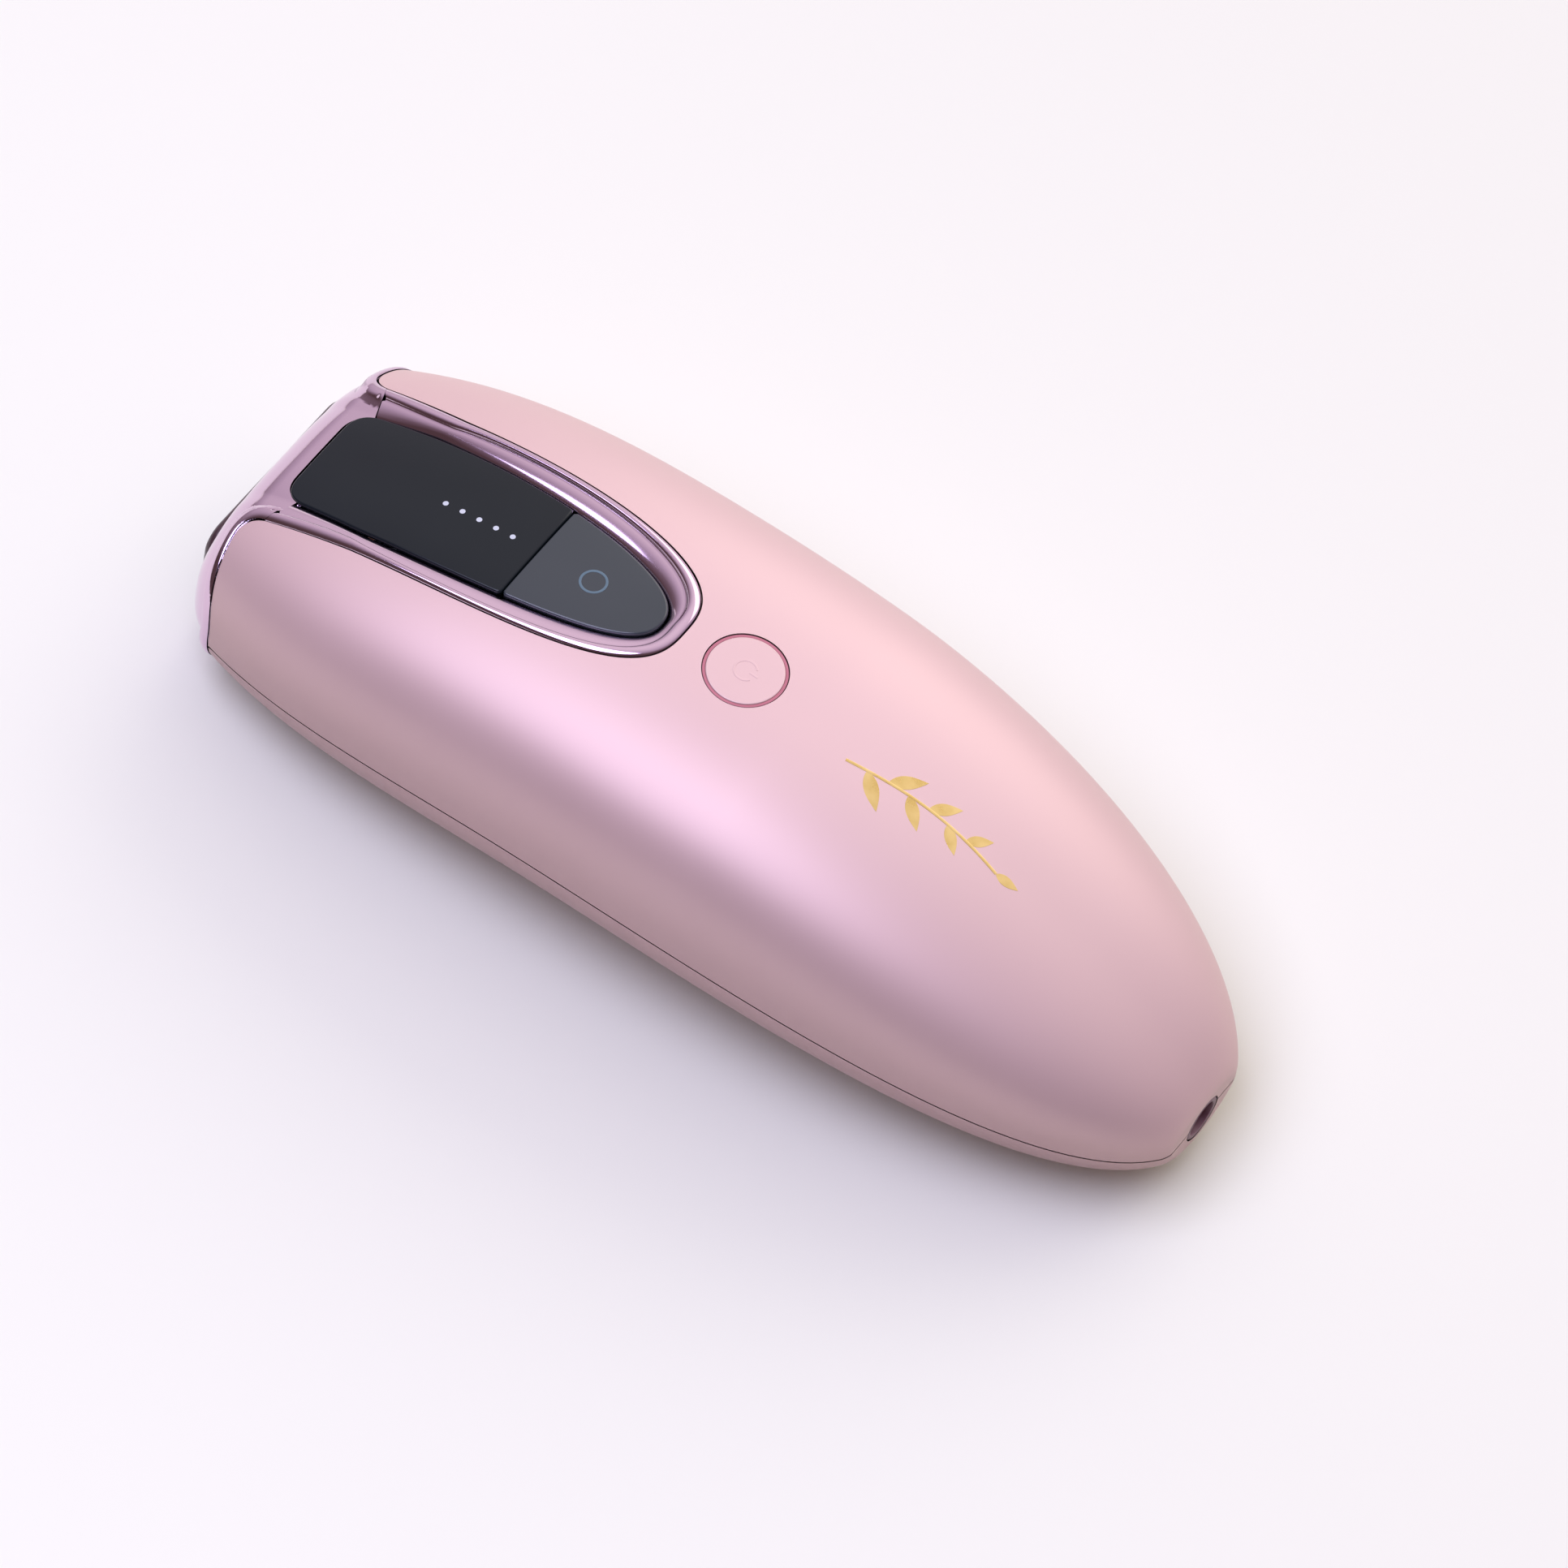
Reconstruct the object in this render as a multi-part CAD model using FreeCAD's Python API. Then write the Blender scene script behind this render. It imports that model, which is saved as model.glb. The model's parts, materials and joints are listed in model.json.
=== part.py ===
import FreeCAD, Part
import math
import os

from FreeCAD import Vector

# Hand-held IPL hair remover, in millimetres.
# +X runs along the length towards the tail, the treatment window faces -X, +Z is up.
# The origin is at the centre of the footprint, on the flat of the belly.

# ---- driving dimensions ------------------------------------------------------------------------
HALF_LENGTH = 86.0          # nose face and tail face stand at -X and +X
WALL = 2.0                  # housing wall
PANEL_DEPTH = 1.6           # black panel below the housing's skin
PANEL_THICK = 2.0
RUNNING_GAP = 0.3           # between a moving piece and what surrounds it
BELLY_DIP = 0.6             # how much of the round belly is cut away to leave its flat

WIDEST_X = -18.6            # outline seen from above
HALF_WIDTH = 33.55
NOSE_HALF_WIDTH = 23.9
CREST_X = 9.4               # outline seen from the side
CREST_Z = 46.4
NOSE_Z = 29.8
TAIL_Z = 11.6               # height that the tail converges to
TAIL_START_X = 40.0         # the belly rises behind this
TAIL_OVERRUN = 2.2          # the curves would close this far behind the tail face
WAIST_Z = 21.9              # height of the widest level at mid length
NOSE_WAIST_Z = 14.2
NOSE_SEAM_Z = 10.2          # the shells' parting line at the nose
NOSE_ROUND = 7.0            # rounding of the nose's front edge
TAIL_ROUND = 0.8

NOSE_EDGE_X = -78.5         # front edge of the two shells
PANEL_TIP_X, PANEL_WIDE_X, PANEL_HALF, PANEL_FRONT_X = -16.9, -64.5, 10.7, -78.5
PANEL_FRONT_HALF, PANEL_CORNER = 10.1, 4.0
TRIM_TIP_X, TRIM_WIDE_X, TRIM_HALF, TRIM_FRONT_X = -13.1, -62.5, 14.9, -76.0
TRIM_FRONT_HALF = 15.6
TRIM_STEP = 1.2             # depth of the trough between the trim's bead and the panel
TRIM_BEAD = 2.2             # width of the trim's outer bead
PANEL_SEAM_X = -39.5        # joint between the display window and the flash key

BUTTON_X, BUTTON_R = -2.24, 5.97
RING_GAP, RING_WIDTH = 0.15, 0.4
BUTTON_TRAVEL = 0.5
KEY_STEM_X = -27.0

WINDOW_Z = 13.2             # centre height of the treatment window
WINDOW_Y, WINDOW_H = 30.0, 12.0
FRAME_LIP = 2.6             # width of the skin contact frame round the window
SENSOR_R, SENSOR_BACK = 0.8, -84.5
RIM_X = -81.5               # the nose steps in ahead of its rim here
LAMP_X = -72.5
FAN_X, FAN_Z, FAN_SIDE, FAN_DEPTH = -38.0, 18.0, 27.0, 8.0
FAN_BORE_R, HUB_R, BLADE_COUNT = 12.5, 6.0, 7
SHAFT_R = 1.0
KEY_BOARD_Z, MAIN_BOARD_Z, BOARD_THICK = 32.0, 26.0, 1.6
SWITCH_HIGH, PLUNGER_R = 3.4, 1.2
CAP_R, CAP_LENGTH, CAP_X, CAP_Y, CAP_Z = 9.6, 42.0, -22.0, 11.0, 13.4
JACK_BORE_R, JACK_PIN_R, COLLAR_R, COLLAR_DEEP = 2.85, 1.0, 4.4, 4.0
SCREW_PLACES = [(-57.0, 20.0), (-57.0, -20.0), (46.0, 15.5), (46.0, -15.5)]
POST_PLACES = [-24.8, 58.0]  # the main board's posts, on the centreline
OUTLET_X, OUTLET_SLOTS = -58.0, 5
INLET_X, INLET_SLOTS = -14.0, 4
SLOT_HALF = 6.2             # half the length of a vent slot
SCREW_SEAT_Z = 5.0          # level at which a case screw's head is seated
POST_JOINT_Z = 15.0         # level at which the lower and upper screw posts meet

FAR = 200.0                 # beyond every solid
PRISM_FLOOR = 24.0          # the outlines on the top are cut down to this level
SECTION_POINTS = 15         # per half cross-section
STATIONS = [-72, -64, -55, -44, -32, -19, -5, 9, 22, 34, 45, 55, 64, 71, 76.5, 80.5, 83.5]
ROUND_STEPS = 5             # sections over the rounding of an end


# ---- the body's curves -------------------------------------------------------------------------
def closing(x, start, power, root):
    """1 at start, falling to 0 at the point behind the tail where the body would close."""
    t = max(0.0, (x - start) / (HALF_LENGTH + TAIL_OVERRUN - start))
    return (1.0 - t ** power) ** (1.0 / root)


def opening(x, start, power):
    """0 at start, rising to 1 at the nose."""
    return max(0.0, (start - x) / (start + HALF_LENGTH)) ** power


def half_width(x):
    if x > WIDEST_X:
        return HALF_WIDTH * closing(x, WIDEST_X, 2.69, 2.21)
    return HALF_WIDTH - (HALF_WIDTH - NOSE_HALF_WIDTH) * opening(x, WIDEST_X, 3.5)


def top_z(x):
    if x > CREST_X:
        return TAIL_Z + (CREST_Z - TAIL_Z) * closing(x, CREST_X, 1.6, 1.62)
    return CREST_Z - (CREST_Z - NOSE_Z) * opening(x, CREST_X, 2.74)


def bottom_z(x):
    if x > TAIL_START_X:
        return TAIL_Z - (TAIL_Z + BELLY_DIP) * closing(x, TAIL_START_X, 3.06, 2.57)
    return -BELLY_DIP


def level_z(x, nose_level):
    """A level that arches from the nose over the middle down to the tail."""
    if x > 0.0:
        return WAIST_Z + (TAIL_Z - WAIST_Z) * (x / (HALF_LENGTH + TAIL_OVERRUN)) ** 2
    return WAIST_Z + (nose_level - WAIST_Z) * (x / HALF_LENGTH) ** 2


def waist_z(x):
    return level_z(x, NOSE_WAIST_Z)


def lower_exponent(x):
    """The belly's corners are squarer at the nose and rounder from mid length on."""
    t = min(1.0, max(0.0, (x + HALF_LENGTH) / HALF_LENGTH))
    return 2.45 + (1.9 - 2.45) * t * t * (3.0 - 2.0 * t)


def half_section(x, inset, side):
    """Half of a cross-section, moved inwards by inset: side 1 is above the waist, -1 below it."""
    exponent = 2.66 if side > 0 else lower_exponent(x)
    wide = half_width(x) - inset
    high = (top_z(x) - waist_z(x) if side > 0 else waist_z(x) - bottom_z(x)) - inset
    points = []
    for i in range(SECTION_POINTS):
        angle = math.pi * i / (SECTION_POINTS - 1)
        across, up = math.cos(angle), math.sin(angle) if 0 < i < SECTION_POINTS - 1 else 0.0
        reach = (abs(across) ** exponent + up ** exponent) ** (1.0 / exponent)
        y, z = side * wide * across / reach, waist_z(x) + side * high * up / reach
        points.append(Vector(x, y, z))
    knots = [i / (SECTION_POINTS - 1) for i in range(SECTION_POINTS)]
    curve = Part.BSplineCurve()
    curve.interpolate(Points=points, Parameters=knots,
                      InitialTangent=Vector(0, 0, side), FinalTangent=Vector(0, 0, -side))
    return curve.toShape()


def end_sections(end_x, radius, inset):
    """Positions and extra insets of the sections over the rounded edge of an end face."""
    sections = []
    for i in range(ROUND_STEPS + 1):
        angle = math.pi / 2 * i / ROUND_STEPS
        back = radius * (1.0 - math.cos(angle))
        x = end_x - math.copysign(inset + back, end_x)
        sections.append((x, inset + radius * (1.0 - math.sin(angle))))
    return sections


def body_solid(inset):
    """The whole body as one solid, with its skin moved inwards by inset."""
    nose = end_sections(-HALF_LENGTH, max(NOSE_ROUND - inset, 1.0), inset)
    tail = end_sections(HALF_LENGTH, TAIL_ROUND, inset)
    middle = [(x, inset) for x in STATIONS if nose[-1][0] + 3.0 < x < tail[-1][0] - 1.0]
    wires = []
    for x, depth in nose + middle + tail[::-1]:
        wires.append(Part.Wire([half_section(x, depth, 1), half_section(x, depth, -1)]))
    solid = Part.makeLoft(wires, True, False, False)
    floor = Part.makeBox(2 * FAR, 2 * FAR, FAR, Vector(-FAR, -FAR, inset - FAR))
    return solid.cut(floor)


# ---- helpers -----------------------------------------------------------------------------------
def box(x0, x1, y0, y1, z0, z1):
    return Part.makeBox(x1 - x0, y1 - y0, z1 - z0, Vector(x0, y0, z0))


def rod(radius, start, end):
    start, end = Vector(*start), Vector(*end)
    return Part.makeCylinder(radius, (end - start).Length, start, end - start)


def largest(shape):
    """The main solid of a shape, without thin offcuts."""
    return max(shape.Solids, key=lambda solid: solid.Volume)


def rounded_plate(x0, x1, wide, high, corner, centre_z):
    """A plate across X with rounded corners, centred on y = 0."""
    plate = box(x0, x1, -wide / 2, wide / 2, centre_z - high / 2, centre_z + high / 2)
    along = [e for e in plate.Edges if e.BoundBox.XLength > (x1 - x0) / 2]
    return plate.makeFillet(corner, along)


def board(x0, x1, wide, z, corner=2.0):
    plate = box(x0, x1, -wide / 2, wide / 2, z, z + BOARD_THICK)
    upright = [e for e in plate.Edges if e.BoundBox.ZLength > BOARD_THICK / 2]
    return plate.makeFillet(corner, upright)


def above_seam():
    """Everything above the arched surface where the two shells meet."""
    points = [Vector(x, -FAR, level_z(x, NOSE_SEAM_Z)) for x in range(-100, 101, 20)]
    curve = Part.BSplineCurve()
    curve.interpolate(Points=points)
    first, last = points[0], points[-1]
    lid = [Vector(first.x, -FAR, FAR), Vector(last.x, -FAR, FAR)]
    sides = [Part.makeLine(last, lid[1]), Part.makeLine(lid[1], lid[0]), Part.makeLine(lid[0], first)]
    outline = Part.Wire([curve.toShape()] + sides)
    return Part.Face(outline).extrude(Vector(0, 2 * FAR, 0))


def tongue_prism(tip_x, wide_x, half, exponent, front_x, front_half, grow, corner=0.0):
    """An upright prism over a tongue-shaped outline, grown sideways and at its tip by grow."""
    tip_x, half, front_half = tip_x + grow, half + grow, front_half + grow
    front_x -= grow if corner else 0.0
    count = 13
    points = []
    for i in range(count):
        angle = math.pi * (i / (count - 1) - 0.5)
        along = abs(math.cos(angle)) ** (2.0 / exponent)
        across = math.copysign(abs(math.sin(angle)) ** (2.0 / exponent), math.sin(angle))
        points.append(Vector(wide_x + (tip_x - wide_x) * along, half * across, 0))
    points[0] = Vector(wide_x, -half, 0)
    points[-1] = Vector(wide_x, half, 0)
    slope = (half - front_half) / (wide_x - front_x)
    nose = Part.BSplineCurve()
    nose.interpolate(Points=points, InitialTangent=Vector(1, -slope, 0), FinalTangent=Vector(-1, -slope, 0))
    right = Vector(front_x, -front_half, 0)
    left = Vector(front_x, front_half, 0)
    ends = [Part.makeLine(points[-1], left), Part.makeLine(left, right), Part.makeLine(right, points[0])]
    face = Part.Face(Part.Wire([nose.toShape()] + ends))
    prism = face.extrude(Vector(0, 0, FAR))
    prism.translate(Vector(0, 0, PRISM_FLOOR))
    if corner:
        edges = [e for e in prism.Edges if e.BoundBox.ZLength > FAR / 2 and e.BoundBox.XMax < front_x + 0.1]
        prism = prism.makeFillet(corner + grow, edges)
    return prism


def panel_prism(grow):
    return tongue_prism(PANEL_TIP_X, PANEL_WIDE_X, PANEL_HALF, 2.43, PANEL_FRONT_X, PANEL_FRONT_HALF,
                        grow, PANEL_CORNER)


def trim_prism(grow):
    return tongue_prism(TRIM_TIP_X, TRIM_WIDE_X, TRIM_HALF, 2.9, TRIM_FRONT_X, TRIM_FRONT_HALF, grow)


def button_hole(radius):
    return rod(radius, (BUTTON_X, 0, KEY_BOARD_Z + BOARD_THICK), (BUTTON_X, 0, FAR))


# ---- shared solids -----------------------------------------------------------------------------
SKIN = body_solid(0.0)
CAVITY = body_solid(WALL)
PANEL_TOP = body_solid(PANEL_DEPTH)
PANEL_UNDER = body_solid(PANEL_DEPTH + PANEL_THICK)
TROUGH = body_solid(TRIM_STEP)
WALL_SOLID = SKIN.cut(CAVITY)
UPPER_SPACE = above_seam()
NOSE_SPACE = box(-FAR, NOSE_EDGE_X, -FAR, FAR, -FAR, FAR)
NOSE_TONGUE = box(NOSE_EDGE_X, TRIM_FRONT_X, -TRIM_FRONT_HALF, TRIM_FRONT_HALF, WINDOW_Z, FAR)


# ---- housing -----------------------------------------------------------------------------------
def screw_post(x, y, z0, z1, radius):
    """A round post that ends inside the housing's wall."""
    buried = body_solid(WALL / 2)
    return rod(radius, (x, y, z0), (x, y, z1)).common(buried)


def tail_hole():
    return rod(COLLAR_R, (HALF_LENGTH - COLLAR_DEEP, 0, TAIL_Z), (FAR, 0, TAIL_Z))


def upper_shell():
    shell = WALL_SOLID.common(UPPER_SPACE).cut(NOSE_SPACE).cut(NOSE_TONGUE)
    shell = shell.cut(trim_prism(0.05)).cut(button_hole(BUTTON_R + RING_GAP + RING_WIDTH))
    for x, y in SCREW_PLACES:
        shell = shell.fuse(screw_post(x, y, POST_JOINT_Z, FAR, 3.2))
        shell = shell.cut(rod(1.1, (x, y, POST_JOINT_Z - 1), (x, y, POST_JOINT_Z + 9)))
    return largest(shell.cut(tail_hole()))


def vent_slots(first_x, count):
    """A row of slots through the belly."""
    slots = []
    for i in range(count):
        x = first_x + 4.0 * i
        slot = box(x, x + 1.8, -SLOT_HALF, SLOT_HALF, -1.0, WALL + 1.0)
        upright = [e for e in slot.Edges if e.BoundBox.ZLength > WALL]
        slots.append(slot.makeFillet(0.85, upright))
    return Part.makeCompound(slots)


def lower_shell():
    shell = WALL_SOLID.cut(UPPER_SPACE).cut(NOSE_SPACE)
    shell = shell.cut(vent_slots(OUTLET_X, OUTLET_SLOTS)).cut(vent_slots(INLET_X, INLET_SLOTS))
    for x, y in SCREW_PLACES:
        shell = shell.fuse(screw_post(x, y, -FAR, POST_JOINT_Z, 4.0))
        shell = shell.cut(rod(2.4, (x, y, -1), (x, y, SCREW_SEAT_Z)))
        shell = shell.cut(rod(1.3, (x, y, 0), (x, y, POST_JOINT_Z + 1)))
    return shell.cut(tail_hole())


def nose_bezel():
    """The plated nose: a rim round a stepped-in front, with a valley that leads up to the panel."""
    rim = SKIN.common(box(RIM_X, NOSE_EDGE_X, -FAR, FAR, -FAR, FAR).fuse(NOSE_TONGUE))
    front = TROUGH.common(box(-FAR, RIM_X + 0.5, -FAR, FAR, -FAR, FAR))
    under_tongue = box(NOSE_EDGE_X - 0.1, TRIM_FRONT_X + 0.5, -TRIM_FRONT_HALF - 1, TRIM_FRONT_HALF + 1,
                       WINDOW_Z - 1.0, FAR)
    hollow = rounded_plate(TRIM_STEP + WALL - HALF_LENGTH, NOSE_EDGE_X + 1.0, 41.0, 19.4, 6.0, 12.6)
    frame_seat = rounded_plate(-HALF_LENGTH - 1, -HALF_LENGTH + 5, WINDOW_Y + 2 * FRAME_LIP + 0.1,
                               WINDOW_H + 2 * FRAME_LIP + 0.1, 4.05, WINDOW_Z)
    valley = box(RIM_X - 1, TRIM_FRONT_X, -11.5, 11.5, PRISM_FLOOR, FAR).cut(TROUGH)
    for space in (valley, CAVITY.common(under_tongue), hollow, panel_prism(0.1)):
        rim = rim.cut(space)
    return rim.fuse(front.cut(hollow).cut(frame_seat))


def panel_trim():
    """The plated surround: an outer bead and a lower inner ledge round the panel."""
    outer, bead_inside, inside = trim_prism(0.0), trim_prism(-TRIM_BEAD), panel_prism(0.1)
    layer = SKIN.cut(PANEL_UNDER)
    ledge_layer = TROUGH.cut(PANEL_UNDER)
    trim = layer.common(outer).cut(bead_inside)
    return trim.fuse(ledge_layer.common(bead_inside)).cut(inside)


def panel_layer():
    return PANEL_TOP.cut(PANEL_UNDER)


def display_window():
    front = box(-FAR, PANEL_SEAM_X - RUNNING_GAP / 2, -FAR, FAR, 0, FAR)
    return panel_layer().common(panel_prism(0.0)).common(front)


def key_stem(x, cap):
    """A post from the top of a switch plunger up into the cap above it."""
    start = KEY_BOARD_Z + BOARD_THICK + SWITCH_HIGH + 1.2
    post = rod(1.6, (x, 0, start), (x, 0, cap.BoundBox.ZMax - 1.0))
    return cap.fuse(post).removeSplitter()


def flash_key():
    rear = box(PANEL_SEAM_X + RUNNING_GAP / 2, FAR, -FAR, FAR, 0, FAR)
    return key_stem(KEY_STEM_X, panel_layer().common(panel_prism(-RUNNING_GAP)).common(rear))


def power_button():
    cap = SKIN.cut(body_solid(2.4)).common(button_hole(BUTTON_R))
    return key_stem(BUTTON_X, cap)


def power_button_ring():
    """A thin light ring in the gap round the power button."""
    layer = body_solid(0.2).cut(body_solid(2.4))
    return layer.common(button_hole(BUTTON_R + RING_GAP + RING_WIDTH)).cut(button_hole(BUTTON_R + RING_GAP))


# ---- treatment head ----------------------------------------------------------------------------
def window_frame():
    outer = rounded_plate(-HALF_LENGTH, -81.0, WINDOW_Y + 2 * FRAME_LIP, WINDOW_H + 2 * FRAME_LIP, 4.0, WINDOW_Z)
    inner = rounded_plate(-FAR, FAR, WINDOW_Y, WINDOW_H, 1.5, WINDOW_Z)
    seat = rounded_plate(-84.4, FAR, WINDOW_Y + 2.0, WINDOW_H + 2.0, 2.0, WINDOW_Z)
    pads = Part.makeCompound([sensor_pocket(side) for side in (-1, 1)])
    return outer.cut(inner).cut(seat).cut(pads)


def sensor_pocket(side):
    """The pocket of one skin contact sensor, at the side of the window."""
    y = side * (WINDOW_Y + FRAME_LIP) / 2
    return rod(SENSOR_R, (-HALF_LENGTH - 1.0, y, WINDOW_Z), (SENSOR_BACK, y, WINDOW_Z))


def skin_sensors():
    pins = []
    for side in (-1, 1):
        y = side * (WINDOW_Y + FRAME_LIP) / 2
        pins.append(rod(SENSOR_R, (-HALF_LENGTH, y, WINDOW_Z), (SENSOR_BACK, y, WINDOW_Z)))
    return Part.makeCompound(pins)


def window_gasket():
    outer = rounded_plate(-84.4, -83.9, WINDOW_Y + 2.0, WINDOW_H + 2.0, 2.0, WINDOW_Z)
    return outer.cut(rounded_plate(-FAR, FAR, WINDOW_Y, WINDOW_H, 1.5, WINDOW_Z))


def sapphire_window():
    return rounded_plate(-83.9, -81.4, WINDOW_Y + 1.8, WINDOW_H + 1.8, 1.8, WINDOW_Z)


def cold_plate():
    """Copper path: a frame behind the window, a shelf under the reflector and an upright back."""
    frame = rounded_plate(-81.0, -79.6, 37.0, 17.0, 5.0, WINDOW_Z)
    frame = frame.cut(rounded_plate(-FAR, FAR, WINDOW_Y - 1.0, WINDOW_H - 1.0, 1.5, WINDOW_Z))
    shelf = box(-80.0, -63.2, -10.0, 10.0, 4.6, 5.8)
    upright = box(-64.4, -63.2, -11.0, 11.0, 4.6, 27.0)
    return frame.fuse(shelf).fuse(upright).removeSplitter()


def filter_glass():
    return rounded_plate(-79.6, -78.4, WINDOW_Y + 1.0, WINDOW_H + 1.0, 1.0, WINDOW_Z)


def trough_solid(front_half, back_half, x0, x1, half_y):
    """A solid wedge, wide at the front and narrow at the back."""
    outline = [Vector(x0, -half_y, WINDOW_Z - front_half), Vector(x1, -half_y, WINDOW_Z - back_half),
               Vector(x1, -half_y, WINDOW_Z + back_half), Vector(x0, -half_y, WINDOW_Z + front_half)]
    face = Part.Face(Part.makePolygon(outline + outline[:1]))
    return face.extrude(Vector(0, 2 * half_y, 0))


def lamp_reflector():
    outer = trough_solid(6.9, 4.8, -78.3, -67.5, 16.0)
    inner = trough_solid(6.3, 4.0, -78.4, -68.3, 15.4)
    return outer.cut(inner).cut(rod(3.1, (LAMP_X, -FAR, WINDOW_Z), (LAMP_X, FAR, WINDOW_Z)))


def lamp_holder():
    """Two end blocks that carry the lamp, joined behind the reflector."""
    low, high = WINDOW_Z - 5.2, WINDOW_Z + 6.0
    blocks = [box(-77.5, -66.0, side * 18.4 - 2.2, side * 18.4 + 2.2, low, high) for side in (-1, 1)]
    bridge = box(-67.3, -65.0, -20.0, 20.0, WINDOW_Z - 4.5, WINDOW_Z + 4.5)
    holder = blocks[0].fuse(blocks[1]).fuse(bridge)
    return holder.cut(rod(2.65, (LAMP_X, -FAR, WINDOW_Z), (LAMP_X, FAR, WINDOW_Z))).removeSplitter()


def lamp_tube():
    return rod(2.6, (LAMP_X, -20.4, WINDOW_Z), (LAMP_X, 20.4, WINDOW_Z))


def lamp_electrodes():
    ends = [rod(1.5, (LAMP_X, side * 20.4, WINDOW_Z), (LAMP_X, side * 23.6, WINDOW_Z)) for side in (-1, 1)]
    return Part.makeCompound(ends)


def thermoelectric_cooler():
    return box(-63.2, -59.8, -10.0, 10.0, 7.0, 27.0)


def heat_sink():
    base = box(-59.8, -57.3, -14.0, 14.0, 4.5, 29.0)
    fins = [box(-57.3, -40.5, -14.0 + 3.0 * i, -13.0 + 3.0 * i, 4.5, 29.0) for i in range(10)]
    sink = base
    for fin in fins:
        sink = sink.fuse(fin)
    return sink.removeSplitter()


# ---- fan ---------------------------------------------------------------------------------------
FAN_BACK = FAN_X + FAN_DEPTH


def fan_housing():
    half = FAN_SIDE / 2
    frame = box(FAN_X, FAN_BACK, -half, half, FAN_Z - half, FAN_Z + half)
    frame = frame.cut(rod(FAN_BORE_R, (-FAR, 0, FAN_Z), (FAR, 0, FAN_Z)))
    base = rod(HUB_R, (FAN_BACK - 1.2, 0, FAN_Z), (FAN_BACK, 0, FAN_Z))
    struts = [box(FAN_BACK - 1.2, FAN_BACK, -0.8, 0.8, FAN_Z, FAN_Z + FAN_BORE_R + 0.5)]
    for turn in (120.0, 240.0):
        strut = struts[0].copy()
        strut.rotate(Vector(0, 0, FAN_Z), Vector(1, 0, 0), turn)
        struts.append(strut)
    housing = frame.fuse(base)
    for strut in struts:
        housing = housing.fuse(strut)
    for y, z in fan_corners():
        housing = housing.cut(rod(1.1, (FAN_X - 1, y, z), (FAN_BACK + 1, y, z)))
    return housing.cut(rod(2.0, (-FAR, 0, FAN_Z), (FAR, 0, FAN_Z))).removeSplitter()


def fan_corners():
    reach = FAN_SIDE / 2 - 2.2
    return [(sy * reach, FAN_Z + sz * reach) for sy in (-1, 1) for sz in (-1, 1)]


def fan_screws():
    screws = []
    for y, z in fan_corners():
        shank = rod(1.0, (FAN_X - 2.4, y, z), (FAN_BACK, y, z))
        screws.append(shank.fuse(rod(1.9, (FAN_BACK, y, z), (FAN_BACK + 1.2, y, z))))
    return Part.makeCompound(screws)


def fan_bearing():
    bush = rod(2.0, (FAN_BACK - 5.0, 0, FAN_Z), (FAN_BACK, 0, FAN_Z))
    return bush.cut(rod(SHAFT_R + 0.03, (-FAR, 0, FAN_Z), (FAR, 0, FAN_Z)))


def fan_coil():
    """The motor's winding, pressed on the bearing."""
    coil = rod(4.2, (FAN_BACK - 4.6, 0, FAN_Z), (FAN_BACK - 1.2, 0, FAN_Z))
    return coil.cut(rod(2.0, (-FAR, 0, FAN_Z), (FAR, 0, FAN_Z)))


def fan_shaft():
    return rod(SHAFT_R, (FAN_X + 1.2, 0, FAN_Z), (FAN_BACK - 0.2, 0, FAN_Z))


def fan_rotor():
    hub = rod(HUB_R, (FAN_X + 0.6, 0, FAN_Z), (FAN_BACK - 1.6, 0, FAN_Z))
    hub = hub.cut(rod(4.8, (FAN_X + 2.4, 0, FAN_Z), (FAR, 0, FAN_Z)))
    hub = hub.cut(rod(SHAFT_R, (FAN_X + 1.2, 0, FAN_Z), (FAR, 0, FAN_Z)))
    for i in range(BLADE_COUNT):
        blade = box(FAN_X + 1.4, FAN_X + 5.4, -0.4, 0.4, FAN_Z + HUB_R - 0.6, FAN_Z + FAN_BORE_R - 0.8)
        blade.rotate(Vector(FAN_X + 3.4, 0, FAN_Z), Vector(0, 0, 1), 35.0)
        blade.rotate(Vector(0, 0, FAN_Z), Vector(1, 0, 0), 360.0 * i / BLADE_COUNT)
        hub = hub.fuse(blade)
    return hub.removeSplitter()


def air_duct():
    """A thin sleeve that leads the fan's air through the heat sink's fins to the belly slots."""
    outer = box(-58.6, FAN_X, -15.2, 15.2, 4.0, FAN_Z + 13.4)
    return outer.cut(box(-59.0, FAN_X + 1.0, -14.2, 14.2, 0.0, FAN_Z + 12.6))


# ---- electronics -------------------------------------------------------------------------------
def key_board():
    return board(-60.0, 6.0, 17.0, KEY_BOARD_Z)


def main_board():
    return board(-27.5, 62.0, 22.0, MAIN_BOARD_Z)


def switch_body(x):
    z0 = KEY_BOARD_Z + BOARD_THICK
    body = box(x - 3.0, x + 3.0, -3.0, 3.0, z0, z0 + SWITCH_HIGH)
    return body.cut(rod(PLUNGER_R + 0.1, (x, 0, z0 + 1.4), (x, 0, FAR)))


def switch_plunger(x):
    z0 = KEY_BOARD_Z + BOARD_THICK
    return rod(PLUNGER_R, (x, 0, z0 + 2.2), (x, 0, z0 + SWITCH_HIGH + 1.2))


def level_leds():
    z0 = KEY_BOARD_Z + BOARD_THICK
    chips = [box(-56.8 + 3.0 * i, -55.2 + 3.0 * i, -0.6, 0.6, z0, z0 + 0.8) for i in range(5)]
    return Part.makeCompound(chips)


def light_guide():
    """A clear strip that carries the level lamps' light up to the display window."""
    z0 = KEY_BOARD_Z + BOARD_THICK + 0.8
    return box(-58.0, -42.0, -2.4, 2.4, z0, z0 + 0.8)


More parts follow.
